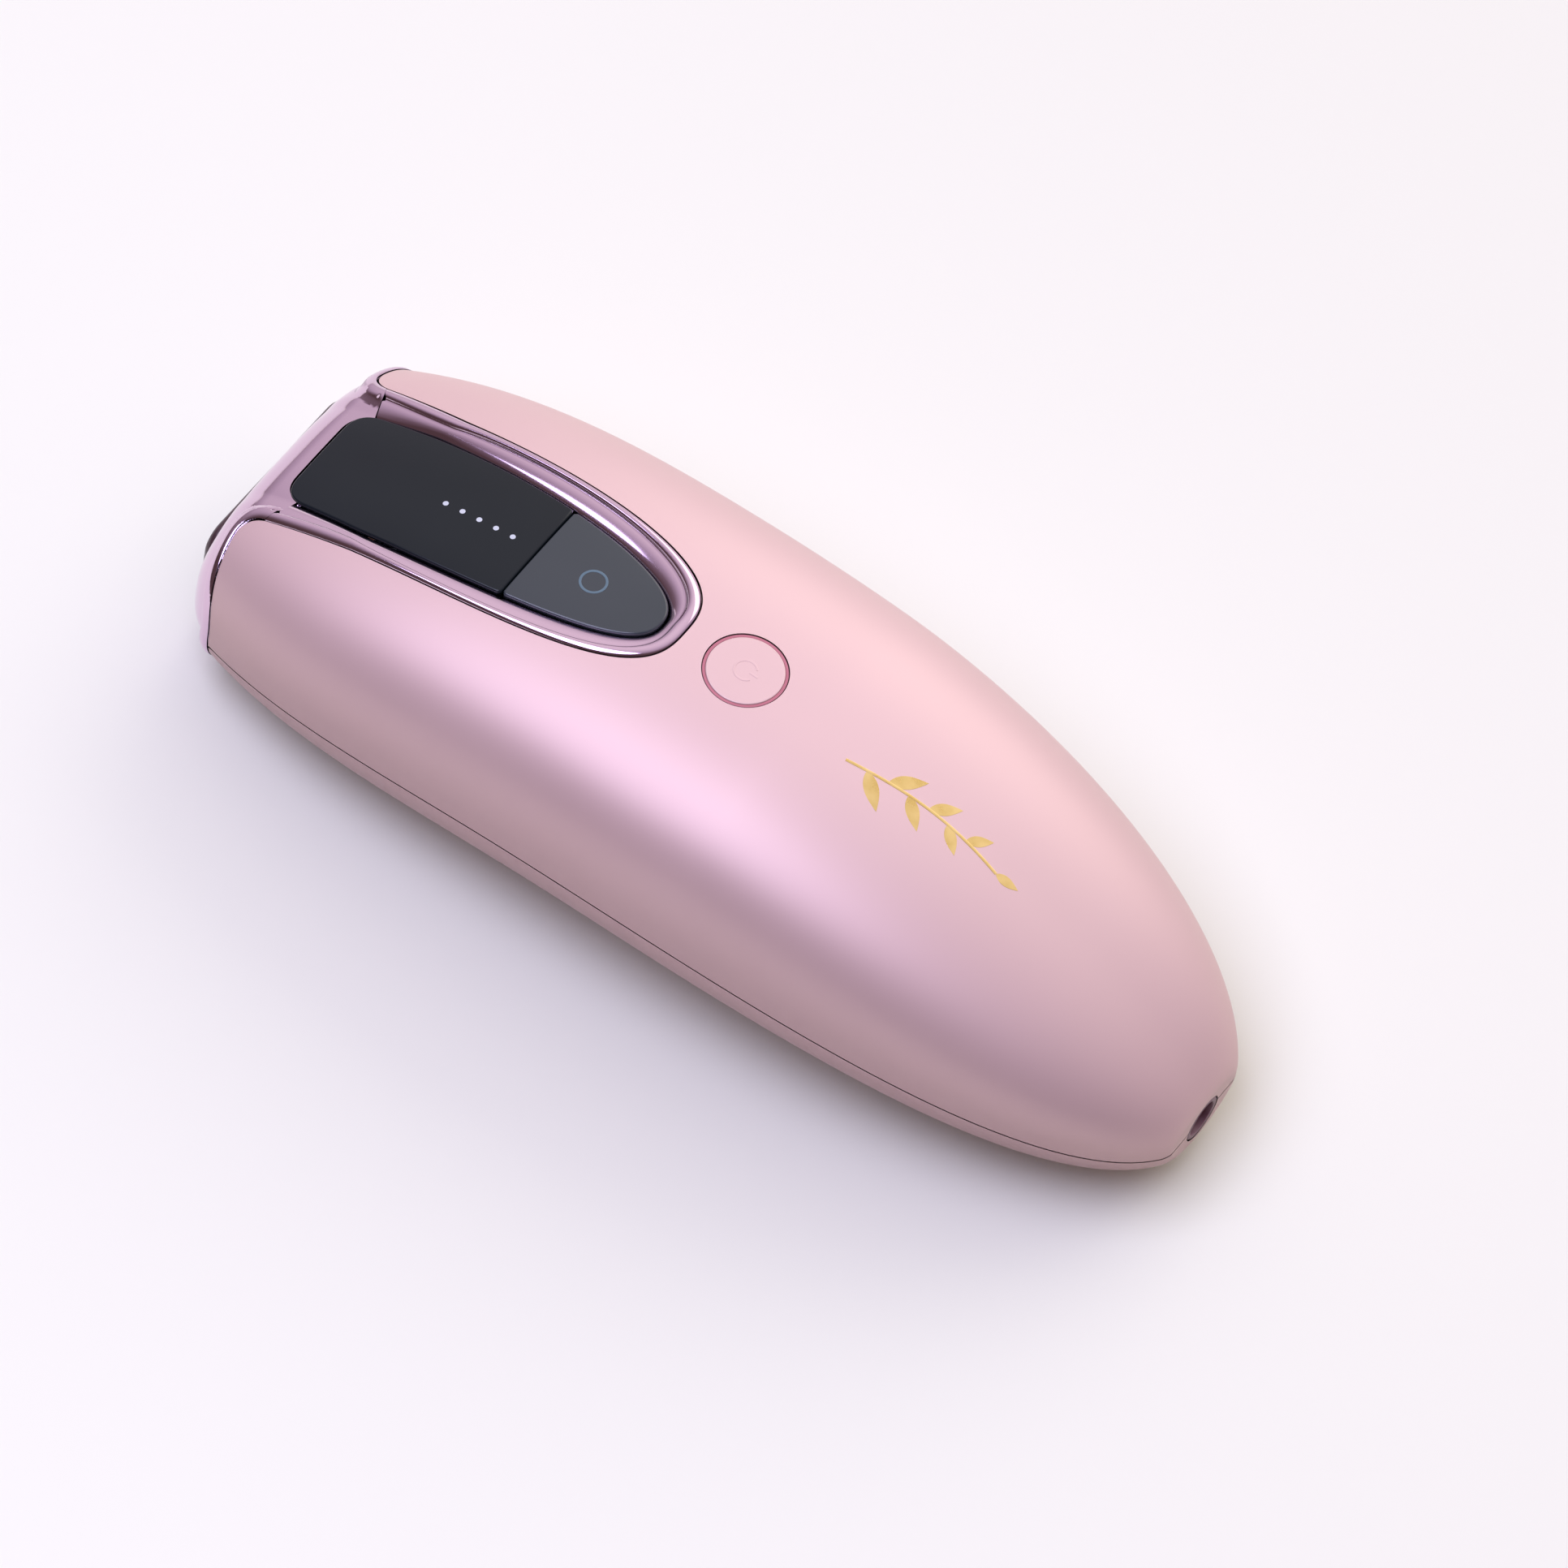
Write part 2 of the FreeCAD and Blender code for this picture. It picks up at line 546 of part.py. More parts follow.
def display_spacer():
    """A foam frame that backs the display window."""
    block = box(-72.0, -60.8, -8.0, 8.0, 26.0, FAR)
    pad = block.common(PANEL_UNDER).common(panel_prism(-1.5))
    floor = body_solid(PANEL_DEPTH + PANEL_THICK + 2.5)
    return pad.cut(floor)


def capacitor(side):
    can = rod(CAP_R, (CAP_X, side * CAP_Y, CAP_Z), (CAP_X + CAP_LENGTH, side * CAP_Y, CAP_Z))
    groove = rod(CAP_R + 1, (CAP_X + 3.0, side * CAP_Y, CAP_Z), (CAP_X + 4.0, side * CAP_Y, CAP_Z))
    return can.cut(groove.cut(rod(CAP_R - 0.5, (-FAR, side * CAP_Y, CAP_Z), (FAR, side * CAP_Y, CAP_Z))))


def capacitor_cradle():
    """A saddle under the two storage capacitors."""
    block = box(3.0, 16.0, -19.0, 19.0, 3.0, 9.0)
    for side in (-1, 1):
        block = block.cut(rod(CAP_R + 0.02, (-FAR, side * CAP_Y, CAP_Z), (FAR, side * CAP_Y, CAP_Z)))
    return block.common(body_solid(WALL + 0.3)).removeSplitter()


def transformer_core():
    core = box(34.0, 54.0, -9.0, 9.0, 10.0, MAIN_BOARD_Z)
    return core.cut(box(36.5, 51.5, -FAR, FAR, 11.8, MAIN_BOARD_Z - 1.8))


def transformer_winding():
    return box(36.7, 51.3, -11.0, 11.0, 12.0, MAIN_BOARD_Z - 2.0)


def trigger_coil():
    z = MAIN_BOARD_Z + BOARD_THICK + 4.5
    return rod(4.5, (18.0, -8.0, z), (30.0, -8.0, z))


def power_transistor():
    z = MAIN_BOARD_Z + BOARD_THICK
    return box(41.4, 44.0, -5.0, 5.0, z, z + 6.0)


def transistor_heat_sink():
    z = MAIN_BOARD_Z + BOARD_THICK
    plate = box(44.0, 45.2, -9.0, 9.0, z, z + 7.5)
    for side in (-1, 1):
        plate = plate.fuse(box(44.0, 50.0, side * 8.4 - 0.6, side * 8.4 + 0.6, z, z + 5.0))
    return plate.removeSplitter()


def buzzer():
    z = MAIN_BOARD_Z + BOARD_THICK
    disc = rod(4.5, (24.0, 8.0, z), (24.0, 8.0, z + 4.0))
    return disc.cut(rod(0.9, (24.0, 8.0, z + 2.0), (24.0, 8.0, FAR)))


def board_screws():
    screws = []
    for x in POST_PLACES:
        shank = rod(1.0, (x, 0, MAIN_BOARD_Z - 3.0), (x, 0, MAIN_BOARD_Z + BOARD_THICK))
        head = rod(1.9, (x, 0, MAIN_BOARD_Z + BOARD_THICK), (x, 0, MAIN_BOARD_Z + BOARD_THICK + 1.2))
        screws.append(shank.fuse(head))
    return Part.makeCompound(screws)


def board_posts():
    """Two posts that carry the main board on the lower shell's floor."""
    posts = []
    for x in POST_PLACES:
        post = rod(2.1, (x, 0, -FAR), (x, 0, MAIN_BOARD_Z)).common(CAVITY)
        posts.append(post.cut(rod(1.0, (x, 0, MAIN_BOARD_Z - 3.0), (x, 0, FAR))))
    return Part.makeCompound(posts)


def main_board_drilled():
    drilled = main_board()
    for x in POST_PLACES:
        drilled = drilled.cut(rod(1.05, (x, 0, 0), (x, 0, FAR)))
    return drilled


def rounded_path(points, radius):
    """Straight runs joined by tangent arcs of one radius."""
    edges = []
    start = points[0]
    for before, corner, after in zip(points, points[1:], points[2:]):
        inward = (before - corner).normalize()
        outward = (after - corner).normalize()
        turn = math.pi - inward.getAngle(outward)
        cut_back = radius * math.tan(turn / 2)
        first, last = corner + inward * cut_back, corner + outward * cut_back
        middle_way = (inward + outward).normalize()
        middle = corner + middle_way * (radius / math.cos(turn / 2) - radius)
        edges += [Part.makeLine(start, first), Part.Arc(first, middle, last).toShape()]
        start = last
    return Part.Wire(edges + [Part.makeLine(start, points[-1])])


def lamp_leads():
    """Two insulated leads from the lamp's ends back to the main board."""
    leads = []
    for side in (-1, 1):
        points = [Vector(LAMP_X, side * 23.6, WINDOW_Z), Vector(LAMP_X, side * 25.6, WINDOW_Z),
                  Vector(-62.0, side * 25.2, 21.0), Vector(-26.0, side * 17.5, 29.0)]
        path = rounded_path(points, 1.2)
        start_way = points[1] - points[0]
        profile = Part.Wire(Part.makeCircle(0.7, points[0], start_way))
        leads.append(path.makePipeShell([profile], True, False))
    return Part.makeCompound(leads)


def ribbon_cable():
    """A flat cable that drops from the key board to the main board."""
    return box(2.0, 3.0, -5.0, 5.0, MAIN_BOARD_Z + BOARD_THICK, KEY_BOARD_Z)


# ---- tail --------------------------------------------------------------------------------------
def jack_collar():
    back = HALF_LENGTH - COLLAR_DEEP
    ring = rod(COLLAR_R - 0.03, (back, 0, TAIL_Z), (HALF_LENGTH, 0, TAIL_Z))
    return ring.cut(rod(JACK_BORE_R, (0, 0, TAIL_Z), (FAR, 0, TAIL_Z)))


def dc_jack():
    back = HALF_LENGTH - COLLAR_DEEP
    body = box(70.0, back, -4.5, 4.5, TAIL_Z - 4.5, TAIL_Z + 4.5)
    return body.cut(rod(JACK_BORE_R + 0.3, (72.0, 0, TAIL_Z), (FAR, 0, TAIL_Z)))


def dc_jack_pin():
    return rod(JACK_PIN_R, (72.0, 0, TAIL_Z), (HALF_LENGTH - COLLAR_DEEP - 0.5, 0, TAIL_Z))


def case_screws():
    screws = []
    for x, y in SCREW_PLACES:
        head = rod(2.1, (x, y, SCREW_SEAT_Z - 1.6), (x, y, SCREW_SEAT_Z))
        slot = box(x - 1.4, x + 1.4, y - 0.25, y + 0.25, SCREW_SEAT_Z - 1.7, SCREW_SEAT_Z - 1.0)
        cross = box(x - 0.25, x + 0.25, y - 1.4, y + 1.4, SCREW_SEAT_Z - 1.7, SCREW_SEAT_Z - 1.0)
        shank = rod(1.05, (x, y, SCREW_SEAT_Z), (x, y, POST_JOINT_Z + 7))
        screws.append(head.cut(slot).cut(cross).fuse(shank))
    return Part.makeCompound(screws)


def vent_mesh(first_x, count):
    """A thin dust screen inside a row of belly slots."""
    reach = SLOT_HALF + 0.3
    return box(first_x - 1.5, first_x + 4.0 * (count - 1) + 3.3, -reach, reach, WALL, WALL + 0.5)


# ---- export ------------------------------------------------------------------------------------
NODES = {
    "upper_shell": upper_shell, "lower_shell": lower_shell, "nose_bezel": nose_bezel,
    "panel_trim": panel_trim, "display_window": display_window, "flash_key": flash_key,
    "power_button": power_button, "power_button_ring": power_button_ring,
    "window_frame": window_frame, "window_gasket": window_gasket, "sapphire_window": sapphire_window,
    "skin_sensors": skin_sensors, "cold_plate": cold_plate, "filter_glass": filter_glass,
    "lamp_reflector": lamp_reflector, "lamp_holder": lamp_holder, "lamp_tube": lamp_tube,
    "lamp_electrodes": lamp_electrodes, "lamp_leads": lamp_leads,
    "thermoelectric_cooler": thermoelectric_cooler, "heat_sink": heat_sink, "air_duct": air_duct,
    "fan_housing": fan_housing, "fan_rotor": fan_rotor, "fan_shaft": fan_shaft,
    "fan_bearing": fan_bearing, "fan_coil": fan_coil, "fan_screws": fan_screws,
    "key_board": key_board, "level_leds": level_leds, "light_guide": light_guide,
    "display_spacer": display_spacer, "ribbon_cable": ribbon_cable,
    "main_board": main_board_drilled, "board_posts": board_posts, "board_screws": board_screws,
    "transformer_core": transformer_core, "transformer_winding": transformer_winding,
    "trigger_coil": trigger_coil,
    "power_transistor": power_transistor, "transistor_heat_sink": transistor_heat_sink,
    "buzzer": buzzer, "capacitor_cradle": capacitor_cradle,
    "jack_collar": jack_collar, "dc_jack": dc_jack, "dc_jack_pin": dc_jack_pin,
    "case_screws": case_screws,
}

SHAPES = {name: make() for name, make in NODES.items()}
SHAPES["left_capacitor"] = capacitor(1)
SHAPES["right_capacitor"] = capacitor(-1)
SHAPES["power_switch"] = switch_body(BUTTON_X)
SHAPES["power_switch_plunger"] = switch_plunger(BUTTON_X)
SHAPES["flash_switch"] = switch_body(KEY_STEM_X)
SHAPES["flash_switch_plunger"] = switch_plunger(KEY_STEM_X)
SHAPES["outlet_mesh"] = vent_mesh(OUTLET_X, OUTLET_SLOTS)
SHAPES["inlet_mesh"] = vent_mesh(INLET_X, INLET_SLOTS)

os.makedirs("parts", exist_ok=True)
for name, shape in SHAPES.items():
    shape.exportStep("parts/" + name + ".step")
    print(name, "solids", len(shape.Solids), "valid", shape.isValid(), "volume", round(shape.Volume, 1))
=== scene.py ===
"""Looks of a hand-held IPL hair remover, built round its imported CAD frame."""

import json
import math

import bpy
import numpy as np
from mathutils import Matrix, Vector
from mathutils.geometry import delaunay_2d_cdt
from mathutils.kdtree import KDTree


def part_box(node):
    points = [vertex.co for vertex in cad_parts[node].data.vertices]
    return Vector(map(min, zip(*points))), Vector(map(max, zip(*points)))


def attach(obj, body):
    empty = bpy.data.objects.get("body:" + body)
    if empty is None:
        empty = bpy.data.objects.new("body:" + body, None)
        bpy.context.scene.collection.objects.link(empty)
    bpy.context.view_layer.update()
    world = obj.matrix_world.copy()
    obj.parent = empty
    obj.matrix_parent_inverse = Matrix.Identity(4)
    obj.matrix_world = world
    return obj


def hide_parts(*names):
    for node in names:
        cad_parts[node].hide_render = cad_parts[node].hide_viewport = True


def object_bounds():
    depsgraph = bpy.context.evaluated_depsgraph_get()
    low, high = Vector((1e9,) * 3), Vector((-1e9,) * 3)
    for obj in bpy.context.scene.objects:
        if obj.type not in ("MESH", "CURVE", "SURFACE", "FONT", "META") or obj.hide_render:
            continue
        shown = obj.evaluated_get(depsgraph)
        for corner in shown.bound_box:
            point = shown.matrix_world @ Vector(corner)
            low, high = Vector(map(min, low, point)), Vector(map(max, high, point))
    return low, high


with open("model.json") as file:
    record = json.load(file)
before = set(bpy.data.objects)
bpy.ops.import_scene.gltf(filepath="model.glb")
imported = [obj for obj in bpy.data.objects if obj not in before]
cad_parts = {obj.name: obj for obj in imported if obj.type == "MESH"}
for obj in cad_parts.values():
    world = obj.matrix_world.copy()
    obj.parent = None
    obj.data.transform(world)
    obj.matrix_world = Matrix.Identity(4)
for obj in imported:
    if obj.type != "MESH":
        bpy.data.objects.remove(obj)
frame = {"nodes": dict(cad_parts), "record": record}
CAD_BOX = [list(corner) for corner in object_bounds()]
MM = 0.001                  # every shape below is worked out in millimetres


def node_box(name):
    """Lowest and highest corner of a CAD node, in millimetres."""
    low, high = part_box(name)
    return np.array(low) / MM, np.array(high) / MM


# ---- driving sizes, in millimetres ----
HALF_LENGTH = CAD_BOX[1][0] / MM
HALF_WIDTH = CAD_BOX[1][1] / MM
CREST_Z = CAD_BOX[1][2] / MM
WIDEST_X, NOSE_HALF_WIDTH = -18.6, 23.9     # where the full width is, and the half width in front
CREST_X, NOSE_Z = 9.4, 29.8                 # where the crest is, and the top's height in front
TAIL_Z, TAIL_START_X, TAIL_OVERRUN, TAIL_ROUND = 11.6, 40.0, 2.2, 0.8
TAIL_DENSE_X = 70.0                         # behind it, points stand closer together
BELLY_DIP, BELLY_SOFT = 0.6, 0.3
WAIST_Z, NOSE_WAIST_Z, NOSE_SEAM_Z = 21.9, 14.2, 10.2
CORE_Z = WAIST_Z - 4.0                      # height of a line that is well inside the body
UPPER_EXPONENT, LOWER_EXPONENT, NOSE_LOWER_EXPONENT = 2.66, 1.9, 2.45
GAUGE = 26.0                # millimetres of girth per radian, the scale of the second parameter
FACE_RUN = 8.0              # run of the first parameter over an end face
TAIL_TURN = HALF_LENGTH - TAIL_ROUND                # where the tail's rounding starts
TAIL_FLAT = TAIL_TURN + TAIL_ROUND * math.pi / 2    # first parameter where its flat face starts

SIDE_EDGE_X = -77.0         # front edge of the shells at their sides
SHOULDER_RUN = 3.4          # how much further forward the edge stands at the shoulders
SHOULDER_ANGLE = math.radians(57.0)
SHOULDER_CUT = 3.4          # how far the shoulder's corner is rounded, along each side
EDGE_END_X = -68.0          # the nose's bead follows the pink edge up to here
PART_GAP = 0.05             # gap between neighbouring pieces
ROLL, ROLL_STEPS = 0.11, 5  # radius of a rolled edge, and the faces across it
SKIN_THICK = 1.7
DELTA = 0.02                # step of the parameters when a surface's slope is measured
CUT_TOLERANCE = 1e-4        # how near to a cut's parameter a point of the cut stands
OUTLINE_STEP = 0.4          # distance between the points of an outline

PANEL_DEPTH, PANEL_ROLL = 1.35, 0.55
TRIM_FRONT_X, SEAM_INNER_X, PANEL_FRONT_X = -77.3, -75.4, -78.5
TRIM_FIXED = 2.4            # the stretch of the surround's profile that keeps its width
# the surround's profile: distance from the pink edge, and depth below the skin
TRIM_PROFILE = np.array([
    (0.0, 2.9), (0.0, 0.35), (0.06, 0.12), (0.2, -0.08), (0.45, -0.24), (0.8, -0.35), (1.15, -0.38),
    (1.5, -0.33), (1.8, -0.18), (2.0, 0.02), (2.1, 0.2), (2.2, 0.36), (2.35, 0.45), (2.6, 0.52),
    (2.9, 0.66), (3.2, 0.88), (3.5, 1.18), (3.8, 1.55), (4.0, 1.85), (4.1, 2.1), (4.1, 3.2)])
BEAD_HALF, BEAD_HEIGHT = 1.15, 0.38         # the same bead, where it runs on along the nose
CREASE_START, CREASE_RUN = 2.05, 0.9
CREASE_ROWS = np.arange(0.2, 3.7, 0.16)     # rows of points beside the pink edge
NOSE_STEP, VALLEY_STEP = 1.3, 1.75          # depth of the nose's sides, and of its top
VALLEY_HALF, VALLEY_BLEND = 13.5, 3.0
NOSE_TURN = 5.0                             # radius between the nose's sides and its face
NOSE_TURN_X = NOSE_STEP - HALF_LENGTH + NOSE_TURN
NOSE_FLAT = NOSE_TURN_X - NOSE_TURN * math.pi / 2
FRAME_CORNER, FRAME_OVERLAP, WINDOW_OVERLAP = 4.0, 0.8, 0.9
WINDOW_MIDDLE_Z = float(sum(corner[2] for corner in node_box("sapphire_window")) / 2)

BUTTON_LOW, BUTTON_HIGH = node_box("power_button")
BUTTON_X, BUTTON_R = (BUTTON_LOW[0] + BUTTON_HIGH[0]) / 2, (BUTTON_HIGH[1] - BUTTON_LOW[1]) / 2
CAP_ROLL, HALO_WIDTH, HALO_DEPTH = 0.2, 0.5, 0.12
POWER_ICON_R, POWER_ICON_GAP = 1.75, 0.62   # ring's radius, and half its opening in radians
FLASH_ICON_R, FLASH_ICON_AHEAD = 2.0, 1.2
LEVEL_DOTS, LEVEL_PITCH, LEVEL_FIRST, LEVEL_R = 5, 3.0, 0.8, 0.42
SPRIG_START, SPRIG_LENGTH, SPRIG_BOW, SPRIG_LEAVES = (18.0, -3.0), 27.0, 2.2, 7
LEAF_ANGLE, LEAF_LENGTH, LEAF_WIDTH = 0.75, 6.6, 2.3
SOCKET_HOLE_R, PLUG_CLEAR = 3.9, 1.85
SLOT_PITCH, SLOT_WIDTH, SLOT_HALF, SLOT_MARGIN = 4.0, 1.8, 6.2, 1.5
SCREW_PLACES = [(-57.0, 20.0), (-57.0, -20.0), (46.0, 15.5), (46.0, -15.5)]
SCREW_HOLE_R = 2.4

# the camera's place in metres, and its angles in degrees
AIM_Z, AIM_RIGHT, AIM_DOWN, CAMERA_DISTANCE = 0.03393, 0.00536, 0.00878, 1.641
CAMERA_TURN, CAMERA_RISE, CAMERA_ROLL = 24.11, 56.41, 12.99


# ---- the body's curves ----
def closing(x, start, power, root):
    """Falls from 1 at start to 0 just behind the tail, at first slowly."""
    t = np.clip((x - start) / (HALF_LENGTH + TAIL_OVERRUN - start), 0.0, 1.0)
    return (1.0 - t ** power) ** (1.0 / root)


def opening(x, start, power):
    """Rises from 0 at start to 1 at the front end."""
    return np.maximum(0.0, (start - x) / (start + HALF_LENGTH)) ** power


def half_width(x):
    ahead = HALF_WIDTH - (HALF_WIDTH - NOSE_HALF_WIDTH) * opening(x, WIDEST_X, power=3.5)
    behind = HALF_WIDTH * closing(x, WIDEST_X, power=2.69, root=2.21)
    return np.where(x > WIDEST_X, behind, ahead)


def top_z(x):
    behind = TAIL_Z + (CREST_Z - TAIL_Z) * closing(x, CREST_X, power=1.6, root=1.62)
    ahead = CREST_Z - (CREST_Z - NOSE_Z) * opening(x, CREST_X, power=2.74)
    return np.where(x > CREST_X, behind, ahead)


def bottom_z(x):
    rise = TAIL_Z - (TAIL_Z + BELLY_DIP) * closing(x, TAIL_START_X, power=3.06, root=2.57)
    return np.where(x > TAIL_START_X, rise, -BELLY_DIP)


def level_z(x, nose_level):
    """A line along the side that bends from nose_level up to the waist and down to the tail."""
    behind = WAIST_Z + (TAIL_Z - WAIST_Z) * (x / (HALF_LENGTH + TAIL_OVERRUN)) ** 2
    return np.where(x > 0.0, behind, WAIST_Z + (nose_level - WAIST_Z) * (x / HALF_LENGTH) ** 2)


def waist_z(x):
    return level_z(x, NOSE_WAIST_Z)


def lower_exponent(x):
    t = np.clip((x + HALF_LENGTH) / HALF_LENGTH, 0.0, 1.0)
    return NOSE_LOWER_EXPONENT + (LOWER_EXPONENT - NOSE_LOWER_EXPONENT) * t * t * (3.0 - 2.0 * t)


def girth(x, upper, inset=0.0):
    """Half width, height from the waist and exponent of a cross-section's upper or lower half."""
    wide = half_width(x) - inset
    high = np.where(upper, top_z(x) - waist_z(x), waist_z(x) - bottom_z(x)) - inset
    return wide, high, np.where(upper, UPPER_EXPONENT, lower_exponent(x))


def section(x, angle, inset=0.0):
    """Points on the body: angle 0 is the +Y side, a quarter turn is the crest."""
    across, up = np.cos(angle), np.sin(angle)
    wide, high, exponent = girth(x, up > 0.0, inset)
    reach = (abs(across) ** exponent + abs(up) ** exponent) ** (1.0 / exponent)
    z = waist_z(x) + high * up / reach
    z = 0.5 * (z + np.sqrt(z * z + BELLY_SOFT ** 2))
    return np.stack([x + 0.0 * z, wide * across / reach, z], axis=-1)


def angle_at_y(x, y, upper=True):
    """Angle of the point of a cross-section that stands at y."""
    wide, _, exponent = girth(x, upper)
    across = np.clip(y / wide, -1.0, 1.0)
    rise = (1.0 - abs(across) ** exponent) ** (1.0 / exponent)
    return np.arctan2(rise if upper else -rise, across)


def angle_at_z(x, z, inset=0.0):
    """Angle of the point of the +Y side that stands at z."""
    up = z - waist_z(x)
    _, high, exponent = girth(x, up > 0.0, inset)
    rise = np.clip(up / high, -1.0, 1.0)
    return np.arctan2(rise, (1.0 - abs(rise) ** exponent) ** (1.0 / exponent))


# ---- surfaces of two parameters ----
def tail_wrap(p):
    """Position and extra inset along the first parameter, which turns over on to the tail face."""
    around = np.clip((p - TAIL_TURN) / TAIL_ROUND, 0.0, math.pi / 2)
    x = np.where(p > TAIL_TURN, TAIL_TURN + TAIL_ROUND * np.sin(around), p)
    return x, TAIL_ROUND * (1.0 - np.cos(around))


def drawn_in(x, point, scale):
    """Points of cross-sections at x, drawn in towards the waist's middle by scale."""
    centre = np.stack([x, 0.0 * x, waist_z(x)], axis=-1)
    return centre + (point - centre) * np.stack([0 * scale + 1, scale, scale], axis=-1)


def shell_surface(p, q):
    """The whole skin: p runs along the body and over the tail face, q runs round it."""
    x, fold = tail_wrap(p)
    scale = 1.0 - np.clip((p - TAIL_FLAT) / FACE_RUN, 0.0, 1.0)
    return drawn_in(x, section(x, q / GAUGE, fold), scale)


def top_surface(depth):
    """The skin seen from above, lowered by depth: p is x and q is y."""
    def surface(p, q):
        wide, high, exponent = girth(p, True, depth)
        rise = (1.0 - np.clip(abs(q / wide), 0, 1) ** exponent) ** (1.0 / exponent)
        return np.stack([p, q, waist_z(p) + high * rise], axis=-1)
    return surface


def on_skin(outline, upper=True):
    """Shell parameters of an outline drawn from above on the crown, or on the belly."""
    angle = angle_at_y(outline[:, 0], outline[:, 1], upper)
    return np.stack([outline[:, 0], angle * GAUGE], axis=-1)


def face_parameters(y, z):
    """Parameters of a point on the flat tail face."""
    x = np.full_like(y, HALF_LENGTH)
    up = z - waist_z(x)
    wide, high, exponent = girth(x, up > 0.0, TAIL_ROUND)
    share = (abs(y / wide) ** exponent + abs(up / high) ** exponent) ** (1.0 / exponent)
    return TAIL_FLAT + (1.0 - share) * FACE_RUN, np.arctan2(up / high, y / wide) * GAUGE


# ---- outlines ----
def resample(points, step, closed=False):
    """The same line with evenly spaced points, its two ends kept."""
    points = np.vstack([points, points[:1]]) if closed else np.asarray(points)
    run = np.concatenate([[0.0], np.cumsum(np.linalg.norm(np.diff(points, axis=0), axis=1))])
    count = max(2, int(round(run[-1] / step)) + 1)
    at = np.linspace(0.0, run[-1], count)
    line = np.stack([np.interp(at, run, points[:, i]) for i in range(points.shape[1])], axis=-1)
    return line[:-1] if closed else line


def soften(line, index, cut):
    """A line of points whose corner at index is turned into a smooth bend."""
    run = np.concatenate([[0.0], np.cumsum(np.linalg.norm(np.diff(line, axis=0), axis=1))])
    start, end = ([np.interp(run[index] + way * cut, run, line[:, i]) for i in (0, 1)]
                  for way in (-1, 1))
    bent = turn(start, line[index], end)
    return np.vstack([line[run < run[index] - cut], bent, line[run > run[index] + cut]])


def turn(start, corner, end):
    """Points of a smooth turn from start to end that keeps to the corner's side."""
    start, corner, end = (np.asarray(v, float) for v in (start, corner, end))
    t = np.linspace(0.0, 1.0, 15)[:, None]
    return (1 - t) ** 2 * start + 2 * t * (1 - t) * corner + t * t * end


def arc(centre, radius, first, last, count):
    """Points of an arc between two angles, both ends counted."""
    angles = np.linspace(first, last, count)
    return np.stack([centre[0] + radius * np.cos(angles), centre[1] + radius * np.sin(angles)], axis=-1)


def circle(centre, radius, count=72):
    """A closed circle, in the order that turns left."""
    return arc(centre, radius, 0.0, 2 * math.pi, count + 1)[:-1]


def rounded_rectangle(centre, wide, high, corner):
    """A closed outline with round corners, in the order that turns left."""
    points = []
    for i, (sx, sy) in enumerate([(1, 1), (-1, 1), (-1, -1), (1, -1)]):
        middle = (centre[0] + sx * (wide / 2 - corner), centre[1] + sy * (high / 2 - corner))
        points.append(arc(middle, corner, i * math.pi / 2, (i + 1) * math.pi / 2, 13))
    return np.vstack(points)


def tongue(share, grow, tip_x, wide_x, half, exponent, front_x, front_half, side_share=0.36):
    """An outline seen from above, with a blunt tip behind two nearly straight sides. Share -1 is its
    right front end, 0 is the tip and 1 is the left front end."""
    tip_x, half, front_half = tip_x + grow, half + grow, front_half + grow
    size, side = abs(share), np.sign(share)
    ahead = np.clip((size - (1.0 - side_share)) / side_share, 0.0, 1.0)
    angle = np.clip(size / (1.0 - side_share), 0.0, 1.0) * math.pi / 2
    x = wide_x + (tip_x - wide_x) * abs(np.cos(angle)) ** (2.0 / exponent)
    y = half * np.sin(angle) ** (2.0 / exponent)
    x = x + (front_x - wide_x) * ahead
    y = y + (front_half - half) * ahead
    return np.stack([x, side * y], axis=-1)


def trim_outline(share, grow, front_x):
    return tongue(share, grow, tip_x=-13.1, wide_x=-62.5, half=14.9, exponent=2.9, front_x=front_x,
                  front_half=15.6)


def panel_outline(share, grow, front_x):
    return tongue(share, grow, tip_x=-16.9, wide_x=-64.5, half=10.7, exponent=2.43, front_x=front_x,
                  front_half=10.1)


def panel_loop(grow, corner=4.0):
    """The panel's closed outline, grown by grow."""
    line = panel_outline(np.linspace(-1.0, 1.0, 401), grow, PANEL_FRONT_X - grow)
    line = resample(line, OUTLINE_STEP)
    right, left, cut = line[0], line[-1], corner + grow
    sides = line[line[:, 0] > right[0] + cut]
    first = turn(right + [0.0, cut], right, sides[0])
    last = turn(sides[-1], left, left - [0.0, cut])
    return resample(np.vstack([first, sides, last]), OUTLINE_STEP, closed=True)


def clip_outline(outline, x, side):
    """The part of a closed outline behind x (side 1) or ahead of it (side -1)."""
    following = np.roll(outline, -1, axis=0)
    crossing = np.flatnonzero((outline[:, 0] > x) != (following[:, 0] > x))
    share = ((x - outline[crossing, 0]) / (following[crossing, 0] - outline[crossing, 0]))[:, None]
    ends = outline[crossing] + share * (following[crossing] - outline[crossing])
    keep = side * (outline[:, 0] - x) > OUTLINE_STEP / 2
    start = int(np.flatnonzero(keep & ~np.roll(keep, 1))[0])
    kept = np.roll(outline, -start, axis=0)[:np.count_nonzero(keep)]
    ends = ends[np.argsort(np.linalg.norm(ends - kept[-1], axis=1))]
    return resample(np.vstack([kept, ends]), OUTLINE_STEP, closed=True)


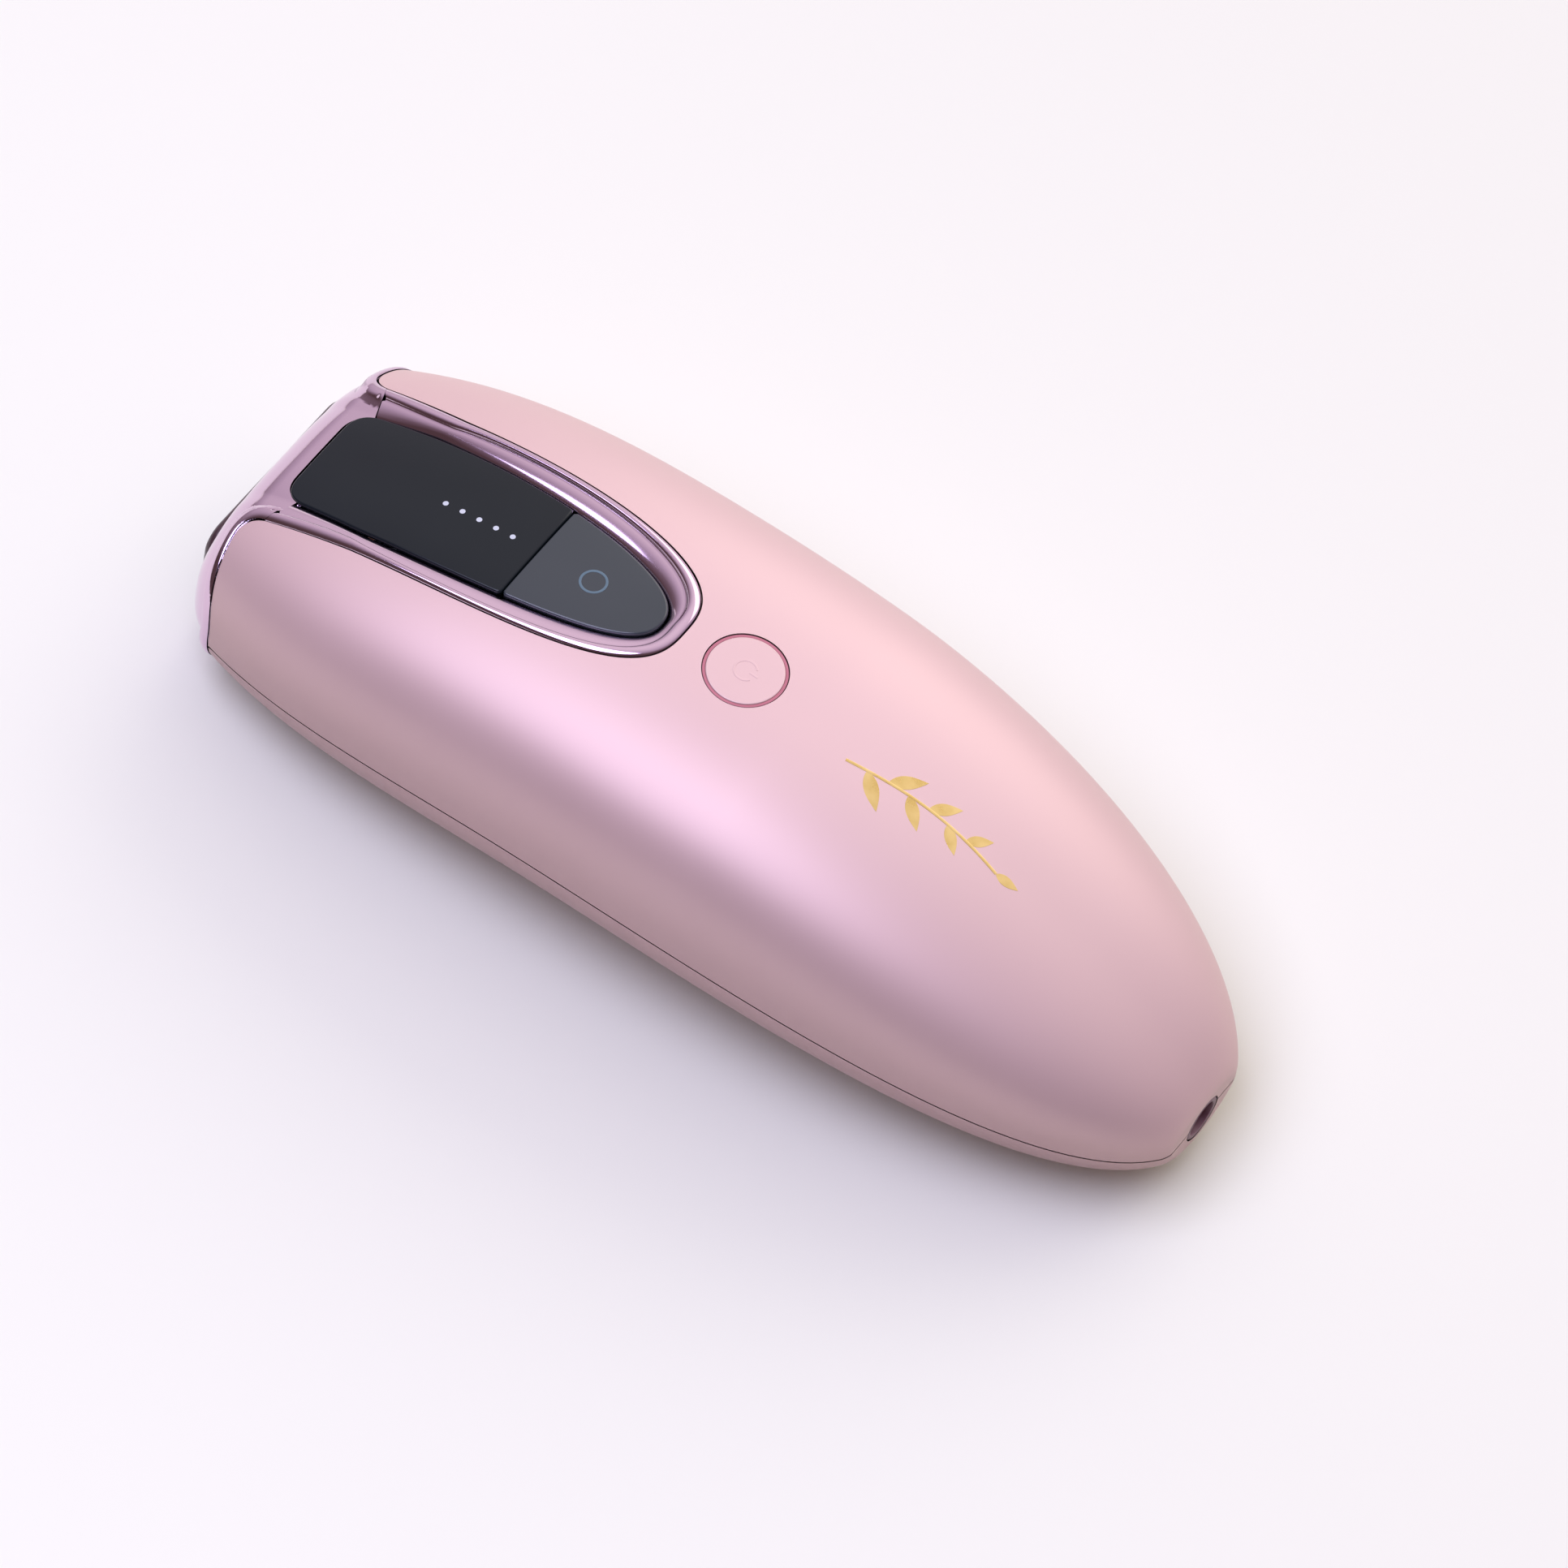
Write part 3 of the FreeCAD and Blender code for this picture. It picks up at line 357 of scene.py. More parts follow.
def front_edge_x(angle):
    """Where the shells' front edge stands, by the angle from the +Y side."""
    fold = np.where(angle > math.pi / 2, math.pi - angle, angle)
    share = np.clip(fold / SHOULDER_ANGLE, 0.0, 1.0)
    return SIDE_EDGE_X - SHOULDER_RUN * np.sin(share * math.pi / 2) ** 2


# ---- mesh builders ----
def unit(v):
    """The same directions with length 1."""
    return v / np.maximum(np.linalg.norm(v, axis=-1, keepdims=True), 1e-12)


def inside(points, loops, block=500):
    """Even-odd test of 2-D points against closed loops, done in blocks to save memory."""
    start = np.vstack(loops)
    end = np.vstack([np.roll(loop, -1, axis=0) for loop in loops])
    rise = np.where(end[:, 1] == start[:, 1], 1.0, end[:, 1] - start[:, 1])
    slope = (end[:, 0] - start[:, 0]) / rise
    result = np.zeros(len(points), bool)
    for k in range(0, len(points), block):
        px, py = points[k:k + block, :1], points[k:k + block, 1:2]
        crosses = (start[:, 1] > py) != (end[:, 1] > py)
        left_of = px < start[:, 0] + (py - start[:, 1]) * slope
        result[k:k + block] = np.count_nonzero(crosses & left_of, axis=1) % 2 == 1
    return result


def distance(points, line):
    """Distance of each point from the nearest point of a line of points, 2-D or 3-D."""
    tree = KDTree(len(line))
    depth = [0.0] * (3 - line.shape[1])
    for index, place in enumerate(line):
        tree.insert([*place, *depth], index)
    tree.balance()
    return np.array([tree.find([*place, *depth])[2] for place in points])


def new_object(name, vertices, faces, normals=None):
    """A smooth-shaded mesh object from vertices in millimetres."""
    mesh = bpy.data.meshes.new(name)
    mesh.from_pydata((np.asarray(vertices) * MM).tolist(), [], faces)
    mesh.polygons.foreach_set("use_smooth", [True] * len(mesh.polygons))
    if normals is not None:
        mesh.normals_split_custom_set_from_vertices(np.asarray(normals).tolist())
    mesh.update()
    piece = bpy.data.objects.new(name, mesh)
    bpy.context.scene.collection.objects.link(piece)
    return piece


def finish_piece(piece, material, body="handset", replaced=()):
    """Gives a piece its material and its body, and hides the CAD nodes that it stands for."""
    piece.data.materials.append(material)
    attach(piece, body)
    if replaced:
        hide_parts(*replaced)


def grid_points(loops, steps, extra, keep_off=0.55):
    """Points on an even grid inside the loops. Steps may vary along the first parameter."""
    everything = np.vstack(loops + extra)
    low, high = everything.min(0), everything.max(0)
    rows, p = [], low[0]
    while p < high[0]:
        step = float(steps(p)) if callable(steps) else steps
        p += step
        count = max(2, int((high[1] - low[1]) / step))
        q = np.linspace(low[1], high[1], count + 1) + (0.5 * step if len(rows) % 2 else 0.0)
        rows.append(np.stack([np.full_like(q, p), q, np.full_like(q, step)], axis=-1))
    grid = np.vstack(rows)
    grid = grid[inside(grid[:, :2], loops)]
    return grid[distance(grid[:, :2], everything) > keep_off * grid[:, 2]][:, :2]


def tangents(line, cut=None):
    """Unit direction of travel along a closed loop. Cut marks the segments that are left out."""
    ahead, back = np.roll(line, -1, axis=0) - line, line - np.roll(line, 1, axis=0)
    if cut is not None:
        ahead, back = ahead * ~cut[:, None], back * ~np.roll(cut, 1)[:, None]
    return unit(ahead + back)


def signed_area(loop):
    """Area of a closed 2-D loop, positive where it turns left."""
    nxt = np.roll(loop, -1, axis=0)
    return 0.5 * np.sum(loop[:, 0] * nxt[:, 1] - nxt[:, 0] * loop[:, 1])


def plate(name, surface, loops, steps, roll=ROLL, thick=SKIN_THICK, cut_q=None, extra=None):
    """A closed plate under a surface, with rolled edges down its loops. The first loop is the outer
    one. Its segments that lie at one of the two values cut_q are welded to each other. Extra points
    lie inside the loops, where the surface bends."""
    extra = [] if extra is None else [extra]
    loops = [loop if (signed_area(loop) > 0) == (i == 0) else loop[::-1] for i, loop in enumerate(loops)]
    flat = np.vstack(loops + extra + [grid_points(loops, steps, extra)])
    starts = np.concatenate([[0], np.cumsum([len(loop) for loop in loops])])
    rings = [np.arange(a, b) for a, b in zip(starts, starts[1:])]
    edges = [(int(a), int(b)) for ring in rings for a, b in zip(ring, np.roll(ring, -1))]
    found, _, triangles, origin = delaunay_2d_cdt([Vector(v) for v in flat], edges, [], 0, 1e-6, True)[:4]
    place = np.zeros(len(flat), int)
    for index, sources in enumerate(origin):
        place[sources] = index
    flat, triangles = np.array([tuple(v) for v in found]), np.array(triangles)
    triangles = triangles[inside(flat[triangles].mean(1), loops)]

    p, q = flat.T
    points = surface(p, q)
    raw = unit(np.cross(unit(surface(p + DELTA, q) - surface(p - DELTA, q)),
                        unit(surface(p, q + DELTA) - surface(p, q - DELTA))))
    outward = points - [points[:, 0].mean(), 0.0, CORE_Z]
    normals = raw * np.sign(np.sum(outward * raw))
    a, b, c = points[triangles].transpose(1, 0, 2)
    flipped = np.sum(np.cross(b - a, c - a) * normals[triangles[:, 0]], axis=1) < 0
    triangles[flipped] = triangles[flipped][:, ::-1]

    under = points - normals * thick
    vertices, directions, faces = [points, under], [normals, -normals], triangles.tolist()
    faces += (triangles[:, ::-1] + len(points)).tolist()
    total = 2 * len(points)
    for ring in rings:
        ids = place[ring]
        cut = np.zeros(len(ids), bool)
        if cut_q is not None:
            for value in cut_q:
                on = abs(flat[ids, 1] - value) < CUT_TOLERANCE
                cut |= on & np.roll(on, -1)
        outward = unit(np.cross(tangents(points[ids], cut), raw[ids]))
        outward[cut & np.roll(cut, 1)] = 0.0
        last = ids
        for angle in np.linspace(0.0, math.pi / 2, ROLL_STEPS + 1)[1:]:
            drop = normals[ids] * roll * (1.0 - math.cos(angle))
            vertices.append(points[ids] + outward * roll * math.sin(angle) - drop)
            directions.append(unit(normals[ids] * math.cos(angle) + outward * math.sin(angle)))
            now = total + np.arange(len(ids))
            faces += strip(last, now, cut)
            total, last = total + len(ids), now
        under[ids] += outward * roll
        faces += strip(last, ids + len(points), cut)
    vertices, directions = np.vstack(vertices), np.vstack(directions)
    if cut_q is not None:
        vertices, directions, faces = weld(vertices, directions, faces)
    return new_object(name, vertices, faces, directions)


def strip(first, second, cut):
    """Quads between two closed rings of equal size, apart from the segments marked as cut."""
    quads = np.stack([first, second, np.roll(second, -1), np.roll(first, -1)], axis=-1)
    return quads[~cut].tolist()


def weld(vertices, normals, faces):
    """Joins vertices that stand in the same place, and leaves out those that no face uses."""
    used = np.unique(np.concatenate([np.asarray(face) for face in faces]))
    _, first, back = np.unique(np.round(vertices[used], 2), axis=0, return_index=True,
                               return_inverse=True)
    renamed = np.zeros(len(vertices), int)
    renamed[used] = back.reshape(-1)
    joined = [list(dict.fromkeys(renamed[face].tolist())) for face in faces]
    return vertices[used][first], normals[used][first], [face for face in joined if len(face) > 2]


def sweep(name, rows, closed_run=False, closed_profile=True, sharp=35.0):
    """A mesh through rows of profile points, with flat ends where the run is open."""
    rows = np.asarray(rows)
    runs, size, _ = rows.shape
    faces = []
    for i in range(runs if closed_run else runs - 1):
        a, b = i * size, (i + 1) % runs * size
        for j in range(size if closed_profile else size - 1):
            k = (j + 1) % size
            faces.append([a + j, a + k, b + k, b + j])
    if not closed_run and closed_profile:
        faces += [list(range(size))[::-1], [(runs - 1) * size + j for j in range(size)]]
    piece = new_object(name, rows.reshape(-1, 3), faces)
    piece.data.set_sharp_from_angle(angle=math.radians(sharp))
    return piece


def sweep_on(name, surface, line, profile, closed_run=False):
    """Carries a closed profile of (across, up) points along a line on a surface seen from above."""
    p, q = line.T
    place = surface(p, q)
    up = unit(np.cross(surface(p + DELTA, q) - surface(p - DELTA, q),
                       surface(p, q + DELTA) - surface(p, q - DELTA)))
    up = up * np.sign(up[:, 2:])
    along = tangents(place) if closed_run else unit(np.gradient(place, axis=0))
    side = unit(np.cross(up, along))
    profile = np.asarray(profile)
    rows = (place[:, None, :] + side[:, None, :] * profile[None, :, :1]
            + up[:, None, :] * profile[None, :, 1:2])
    return sweep(name, rows, closed_run)


def bar_profile(wide, low, high, edge):
    """A flat bar's section with softened upper edges, from low to high."""
    half = wide / 2
    right = [(half - edge + edge * math.cos(a), high - edge + edge * math.sin(a))
             for a in np.linspace(0, math.pi / 2, 5)]
    left = [(-x, y) for x, y in right[::-1]]
    return [(half, low)] + right + left + [(-half, low)]


# ---- materials ----
def noise(tree, scale, detail):
    """A noise pattern in object space. Scale is cells per metre."""
    where = tree.nodes.new("ShaderNodeTexCoord")
    pattern = tree.nodes.new("ShaderNodeTexNoise")
    pattern.inputs["Scale"].default_value = scale
    pattern.inputs["Detail"].default_value = detail
    tree.links.new(where.outputs["Object"], pattern.inputs["Vector"])
    return pattern.outputs["Fac"]


def ramp(tree, value, colours, places=None):
    """Colours that follow a value, by default over the middle stretch that a noise fills."""
    made = tree.nodes.new("ShaderNodeValToRGB")
    places = places or [0.35 + 0.3 * i / (len(colours) - 1) for i in range(len(colours))]
    stops = made.color_ramp.elements
    stops[0].position, stops[1].position = places[0], places[-1]
    for place in places[1:-1]:
        stops.new(place)
    for element, colour in zip(stops, colours):
        element.color = (*colour, 1.0)
    tree.links.new(value, made.inputs["Fac"])
    return made.outputs["Color"]


def spread(tree, value, low, high):
    """A noise's middle stretch, spread from low to high."""
    made = tree.nodes.new("ShaderNodeMapRange")
    made.inputs["From Min"].default_value, made.inputs["From Max"].default_value = 0.3, 0.7
    made.inputs["To Min"].default_value, made.inputs["To Max"].default_value = low, high
    tree.links.new(value, made.inputs["Value"])
    return made.outputs["Result"]


def surface_material(name, colours, rough, scale, bump=0.0, bump_scale=2500.0, **sockets):
    """A shader whose colour and roughness drift with a noise, with an optional fine relief.
    Bump is the relief's height in metres."""
    made = bpy.data.materials.new(name)
    made.use_nodes = True
    tree = made.node_tree
    shader = tree.nodes["Principled BSDF"]
    drift = noise(tree, scale, 3.0)
    tree.links.new(ramp(tree, drift, colours), shader.inputs["Base Color"])
    tree.links.new(spread(tree, drift, *rough), shader.inputs["Roughness"])
    if bump:
        relief = tree.nodes.new("ShaderNodeBump")
        relief.inputs["Distance"].default_value = bump
        tree.links.new(noise(tree, bump_scale, 2.0), relief.inputs["Height"])
        tree.links.new(relief.outputs["Normal"], shader.inputs["Normal"])
    for socket, value in sockets.items():
        shader.inputs[socket.replace("_", " ")].default_value = value
    return made


PINK = surface_material("pearl_pink", [(0.80, 0.575, 0.54), (0.83, 0.60, 0.565)], (0.46, 0.50), 14.0,
                        2e-6, 5000.0, Metallic=0.35, Coat_Weight=0.12, Coat_Roughness=0.4)
CHROME = surface_material("rose_chrome", [(0.70, 0.52, 0.66), (0.74, 0.56, 0.70)], (0.09, 0.12), 20.0,
                          Metallic=1.0)
GLASS_BLACK = surface_material("black_gloss", [(0.007, 0.011, 0.014), (0.010, 0.015, 0.018)],
                               (0.10, 0.14), 30.0, Specular_IOR_Level=0.3)
KEY_BLACK = surface_material("key_gloss", [(0.028, 0.040, 0.046), (0.034, 0.046, 0.053)],
                             (0.16, 0.20), 30.0, Coat_Weight=0.4, Coat_Roughness=0.08)
HALO = surface_material("pink_light_ring", [(0.52, 0.16, 0.20), (0.58, 0.20, 0.24)], (0.4, 0.5), 200.0)
ICON = surface_material("icon_ink", [(0.10, 0.17, 0.21), (0.12, 0.20, 0.24)], (0.3, 0.4), 400.0)
LEVEL = surface_material("level_ink", [(0.62, 0.68, 0.72), (0.70, 0.75, 0.78)], (0.3, 0.4), 400.0)
GOLD = surface_material("gold_foil", [(0.72, 0.52, 0.16), (0.82, 0.62, 0.24)], (0.24, 0.34), 300.0,
                        3e-6, 3000.0, Metallic=0.75)
FRAME_GREY = surface_material("frame_plastic", [(0.060, 0.030, 0.036), (0.075, 0.040, 0.046)],
                              (0.25, 0.32), 120.0, 4e-6, 4000.0)
MAUVE_PLASTIC = surface_material("socket_plastic", [(0.26, 0.12, 0.16), (0.30, 0.15, 0.19)],
                                 (0.35, 0.5), 160.0, 5e-6, 4000.0)

# each slot: colours, roughness, cells per metre, relief, other sockets
SLOT_LOOKS = {
    "dark_plastic": ([(0.03, 0.03, 0.035), (0.05, 0.05, 0.055)], (0.4, 0.55), 120.0, 6e-6, {}),
    "white_plastic": ([(0.72, 0.72, 0.70), (0.80, 0.80, 0.78)], (0.4, 0.5), 120.0, 4e-6, {}),
    "clear_plastic": ([(0.85, 0.87, 0.90), (0.90, 0.92, 0.95)], (0.2, 0.3), 90.0, 2e-6,
                      {"Transmission_Weight": 0.7}),
    "sapphire": ([(0.93, 0.95, 0.98), (0.97, 0.98, 1.0)], (0.01, 0.03), 60.0, 0.0,
                 {"Transmission_Weight": 1.0, "IOR": 1.5}),
    "filter_glass": ([(0.95, 0.72, 0.35), (0.98, 0.80, 0.45)], (0.02, 0.05), 60.0, 0.0,
                     {"Transmission_Weight": 0.95, "IOR": 1.3}),
    "quartz": ([(0.93, 0.94, 0.97), (0.97, 0.98, 1.0)], (0.02, 0.05), 90.0, 0.0,
               {"Transmission_Weight": 0.6}),
    "gasket_rubber": ([(0.02, 0.02, 0.02), (0.04, 0.04, 0.04)], (0.7, 0.85), 300.0, 1e-5, {}),
    "foam": ([(0.06, 0.06, 0.065), (0.10, 0.10, 0.105)], (0.9, 1.0), 900.0, 8e-5, {}),
    "copper": ([(0.72, 0.34, 0.20), (0.86, 0.46, 0.30)], (0.25, 0.4), 150.0, 2e-6, {"Metallic": 1.0}),
    "aluminium": ([(0.62, 0.63, 0.65), (0.72, 0.73, 0.75)], (0.3, 0.45), 200.0, 4e-6, {"Metallic": 1.0}),
    "mirror_metal": ([(0.82, 0.83, 0.85), (0.90, 0.91, 0.92)], (0.04, 0.10), 80.0, 0.0, {"Metallic": 1.0}),
    "steel": ([(0.46, 0.46, 0.48), (0.58, 0.58, 0.60)], (0.22, 0.36), 200.0, 3e-6, {"Metallic": 1.0}),
    "brass": ([(0.62, 0.44, 0.18), (0.76, 0.56, 0.26)], (0.25, 0.38), 200.0, 3e-6, {"Metallic": 1.0}),
    "ceramic": ([(0.74, 0.73, 0.69), (0.82, 0.81, 0.78)], (0.6, 0.75), 250.0, 8e-6, {}),
    "board_green": ([(0.02, 0.13, 0.06), (0.03, 0.19, 0.09)], (0.35, 0.5), 500.0, 1e-5, {}),
    "can_black": ([(0.02, 0.02, 0.03), (0.04, 0.04, 0.06)], (0.3, 0.45), 120.0, 4e-6, {}),
    "insulation": ([(0.45, 0.03, 0.02), (0.58, 0.06, 0.04)], (0.45, 0.6), 200.0, 6e-6, {}),
    "tape_yellow": ([(0.70, 0.48, 0.06), (0.82, 0.60, 0.12)], (0.35, 0.5), 250.0, 6e-6, {}),
    "ferrite": ([(0.05, 0.05, 0.05), (0.09, 0.085, 0.08)], (0.6, 0.8), 500.0, 2e-5, {}),
}
SHOWN_SLOTS = {"pink_shell": PINK, "rose_chrome": CHROME, "black_glass": GLASS_BLACK, "pink_ring": HALO}


def dress_nodes():
    """Gives every CAD node the material of its slot."""
    made = dict(SHOWN_SLOTS)
    for slot, (colours, rough, scale, bump, sockets) in SLOT_LOOKS.items():
        made[slot] = surface_material(slot, colours, rough, scale, bump, **sockets)
    for part in frame["record"]["subparts"]:
        data = frame["nodes"][part["node"]].data
        data.materials.clear()
        data.materials.append(made[part["material_slot"]])


dress_nodes()


# ---- housing ----
def seam_line(shift):
    """The +Y parting line from the front edge to the flat tail face, moved up by shift."""
    p = np.concatenate([np.arange(SIDE_EDGE_X, TAIL_DENSE_X, 1.2),
                        np.arange(TAIL_DENSE_X, TAIL_TURN, 0.5), np.linspace(TAIL_TURN, TAIL_FLAT, 6)])
    x, fold = tail_wrap(p)
    angle = angle_at_z(x, level_z(x, NOSE_SEAM_Z) + shift, fold)
    return np.stack([p, angle * GAUGE], axis=-1)


def socket_line(shift, radius, clear=0.3):
    """Over the tail face: along the parting line from +Y, round the socket's hole and on to -Y.
    Clear is the distance that the straight stretch keeps from its two ends."""
    level = float(waist_z(np.array(HALF_LENGTH))) + shift
    first = math.asin((level - TAIL_Z) / radius)
    way = 1.0 if shift > 0 else -1.0
    last = math.pi - first if way > 0 else -math.pi - first
    hole = arc((0.0, TAIL_Z), radius, first, last, 40)
    reach = float(girth(np.array(HALF_LENGTH), shift > 0, TAIL_ROUND)[0]) - clear
    edge = np.linspace(reach, hole[0, 0] + clear, 8)
    flat = np.stack([edge, np.full_like(edge, level)], axis=-1)
    points = np.vstack([flat, hole, flat[::-1] * [-1.0, 1.0]])
    p, q = face_parameters(points[:, 0], points[:, 1])
    q = np.where((q < -math.pi / 2 * GAUGE) & (way > 0), q + 2 * math.pi * GAUGE, q)
    q = np.where((q > math.pi / 2 * GAUGE) & (way < 0), q - 2 * math.pi * GAUGE, q)
    return np.stack([p, q], axis=-1)


def mirrored(line, turn_angle):
    """The same line on the -Y side, in reverse order. Turn_angle is pi, or -pi for the lower shell."""
    return (line * [1.0, -1.0] + [0.0, turn_angle * GAUGE])[::-1]


def shoulder_line(gap):
    """The +Y half of the upper shell's edge round the nose, from the seam up over the shoulder and
    back along the trim to its tip. Gap moves it away from the nose and the trim."""
    start = seam_line(gap)[0, 1] / GAUGE
    angle = np.linspace(start, SHOULDER_ANGLE * 1.2, 90)
    front = np.stack([front_edge_x(angle) + gap, angle * GAUGE], axis=-1)
    foremost = SIDE_EDGE_X - SHOULDER_RUN
    side = on_skin(trim_outline(np.linspace(1.0, 0.0, 260), gap, foremost - 1.0))
    corner_x = foremost + gap
    side = side[side[:, 0] > corner_x]
    corner = np.array([corner_x, side[0, 1]])
    front = front[front[:, 1] < corner[1] - 0.05]
    line = np.vstack([front, corner, side])
    return soften(line, len(front), SHOULDER_CUT + gap)


def pink_step(p):
    """Distance between a shell's grid points."""
    return np.where(p < TAIL_DENSE_X, 1.4, 0.55)


def build_upper_skin():
    gap = PART_GAP / 2 + ROLL
    edge = shoulder_line(gap)
    seam = seam_line(gap)
    outer = np.vstack([seam, socket_line(gap, SOCKET_HOLE_R + ROLL), mirrored(seam, math.pi),
                       mirrored(edge, math.pi)[::-1][1:-1], edge[::-1][:-1]])
    hole = on_skin(circle((BUTTON_X, 0.0), BUTTON_R + HALO_WIDTH + ROLL))
    piece = plate("upper_skin", shell_surface, [outer, hole], pink_step)
    finish_piece(piece, PINK, replaced=["upper_shell"])


def build_lower_skin():
    gap = PART_GAP / 2 + ROLL
    seam = seam_line(-gap)
    angle = np.linspace(seam[0, 1] / GAUGE, -math.pi - seam[0, 1] / GAUGE, 120)[1:-1]
    front = np.stack([np.full_like(angle, SIDE_EDGE_X + gap), angle * GAUGE], axis=-1)
    seam = seam[seam[:, 0] > SIDE_EDGE_X + gap]
    outer = np.vstack([seam, socket_line(-gap, SOCKET_HOLE_R + ROLL), mirrored(seam, -math.pi),
                       front[::-1]])
    holes = []
    for name in ("outlet_mesh", "inlet_mesh"):
        low, high = node_box(name)
        pitches = (high[0] - low[0] - 2 * SLOT_MARGIN - SLOT_WIDTH) / SLOT_PITCH
        for i in range(int(round(pitches)) + 1):
            middle = (low[0] + SLOT_MARGIN + SLOT_WIDTH / 2 + SLOT_PITCH * i, 0.0)
            slot = rounded_rectangle(middle, SLOT_WIDTH, 2 * SLOT_HALF, SLOT_WIDTH / 2 - 0.02)
            holes.append(on_skin(resample(slot, OUTLINE_STEP, closed=True), upper=False))
    for place in SCREW_PLACES:
        holes.append(on_skin(circle(place, SCREW_HOLE_R, 32), upper=False))
    piece = plate("lower_skin", shell_surface, [outer] + holes, pink_step)
    finish_piece(piece, PINK, replaced=["lower_shell"])


# ---- nose ----
def profile_depth(d, far):
    """Depth below the skin at distance d from the pink edge: a bead, a crease and a far level."""
    bead = -BEAD_HEIGHT * np.clip(1.0 - ((d - BEAD_HALF) / BEAD_HALF) ** 2, 0.0, 1.0) ** 0.8
    crease = far * np.clip((d - CREASE_START) / CREASE_RUN, 0.0, 1.0) ** 0.6
    return np.where(d < CREASE_START, bead, crease)


def nose_wrap(p):
    """Position, extra inset and scale along the nose's first parameter."""
    around = np.clip((NOSE_TURN_X - p) / NOSE_TURN, 0.0, math.pi / 2)
    x = np.where(p < NOSE_TURN_X, NOSE_TURN_X - NOSE_TURN * np.sin(around), p)
    scale = 1.0 - np.clip((NOSE_FLAT - p) / FACE_RUN, 0.0, 1.0)
    return x, NOSE_TURN * (1.0 - np.cos(around)), scale


def nose_surface(p, q):
    """The nose: the body's skin, lowered beyond the bead that follows the pink edge."""
    x, fold, scale = nose_wrap(p)
    skin = section(x, q / GAUGE, fold)
    d = distance(skin, PINK_EDGE)
    valley = np.clip((VALLEY_HALF - abs(skin[:, 1])) / VALLEY_BLEND, 0.0, 1.0)
    valley = valley * (skin[:, 2] > WINDOW_MIDDLE_Z)
    valley = valley * valley * (3.0 - 2.0 * valley)
    depth = profile_depth(d, NOSE_STEP + (VALLEY_STEP - NOSE_STEP) * valley)
    return drawn_in(x, section(x, q / GAUGE, fold + depth), scale)


def nose_parameters(y, z):
    """Parameters of the nose's point seen at (y, z) from ahead."""
    near, far = np.full_like(y, NOSE_TURN_X + 1.0), np.full_like(y, NOSE_FLAT - FACE_RUN * 0.98)
    for _ in range(50):
        p = (near + far) / 2
        x, fold, scale = nose_wrap(p)
        up = z - waist_z(x)
        wide, high, exponent = girth(x, up > 0.0, fold + NOSE_STEP)
        across, rise = y / (wide * scale), up / (high * scale)
        past = abs(across) ** exponent + abs(rise) ** exponent > 1.0
        far, near = np.where(past, p, far), np.where(past, near, p)
    angle = np.arctan2(rise, across)
    return np.stack([p, np.where(angle < -math.pi / 2, angle + 2 * math.pi, angle) * GAUGE], axis=-1)


def rows_beside(line, reaches, probe=0.5):
    """Rows of points beside a line of shell parameters, at the given distances in space from it."""
    along = unit(np.gradient(line, axis=0))
    aside = np.stack([-along[:, 1], along[:, 0]], axis=-1)
    near = shell_surface(*line.T)
    stretch = np.linalg.norm(shell_surface(*(line + aside * probe).T) - near, axis=1) / probe
    rows = [line + aside * (reach / stretch)[:, None] for reach in reaches]
    return np.vstack([resample(row, 0.35) for row in rows])


def nose_step(p):
    """Distance between the nose's grid points: finer on its sides than on its face."""
    return np.where(p > NOSE_TURN_X - 2.0, 0.34, 0.6)


def nose_half_line(gap):
    """The +Y half of the nose's outer edge, in three stretches: up the side to the seam, on over the
    shoulder to the surround, and along the panel's front end to the middle."""
    below_seam = np.linspace(-math.pi / 2, seam_line(0.0)[0, 1] / GAUGE, 60, endpoint=False)
    lower = np.stack([np.full_like(below_seam, SIDE_EDGE_X - gap), below_seam * GAUGE], axis=-1)
    edge = shoulder_line(-gap)
    edge = edge[edge[:, 1] > lower[-1, 1]]
    shoulder = int(np.argmin(edge[:, 0]))
    edge = edge[:shoulder + int(np.argmax(edge[shoulder:, 0] > TRIM_FRONT_X))]
    panel = panel_loop(gap)
    ahead = panel[(panel[:, 0] < SEAM_INNER_X) & (panel[:, 1] >= 0.0)]
    ahead = on_skin(ahead[np.argsort(-np.arctan2(ahead[:, 1], -(ahead[:, 0] - SEAM_INNER_X)))])
    across = resample(np.vstack([edge[-1], ahead[0]]), OUTLINE_STEP)[1:-1]
    return lower, edge, np.vstack([across, ahead])


def nose_hole():
    """The hole for the window's frame, from the bottom round to the bottom again."""
    low, high = node_box("window_frame")
    wide, tall = (high - low)[1:] - 2 * FRAME_OVERLAP
    outline = rounded_rectangle(((low + high) / 2)[1:], wide, tall, FRAME_CORNER - 0.6)
    hole = nose_parameters(*resample(outline, 0.5, closed=True).T)
    return hole[np.argsort(hole[:, 1])]


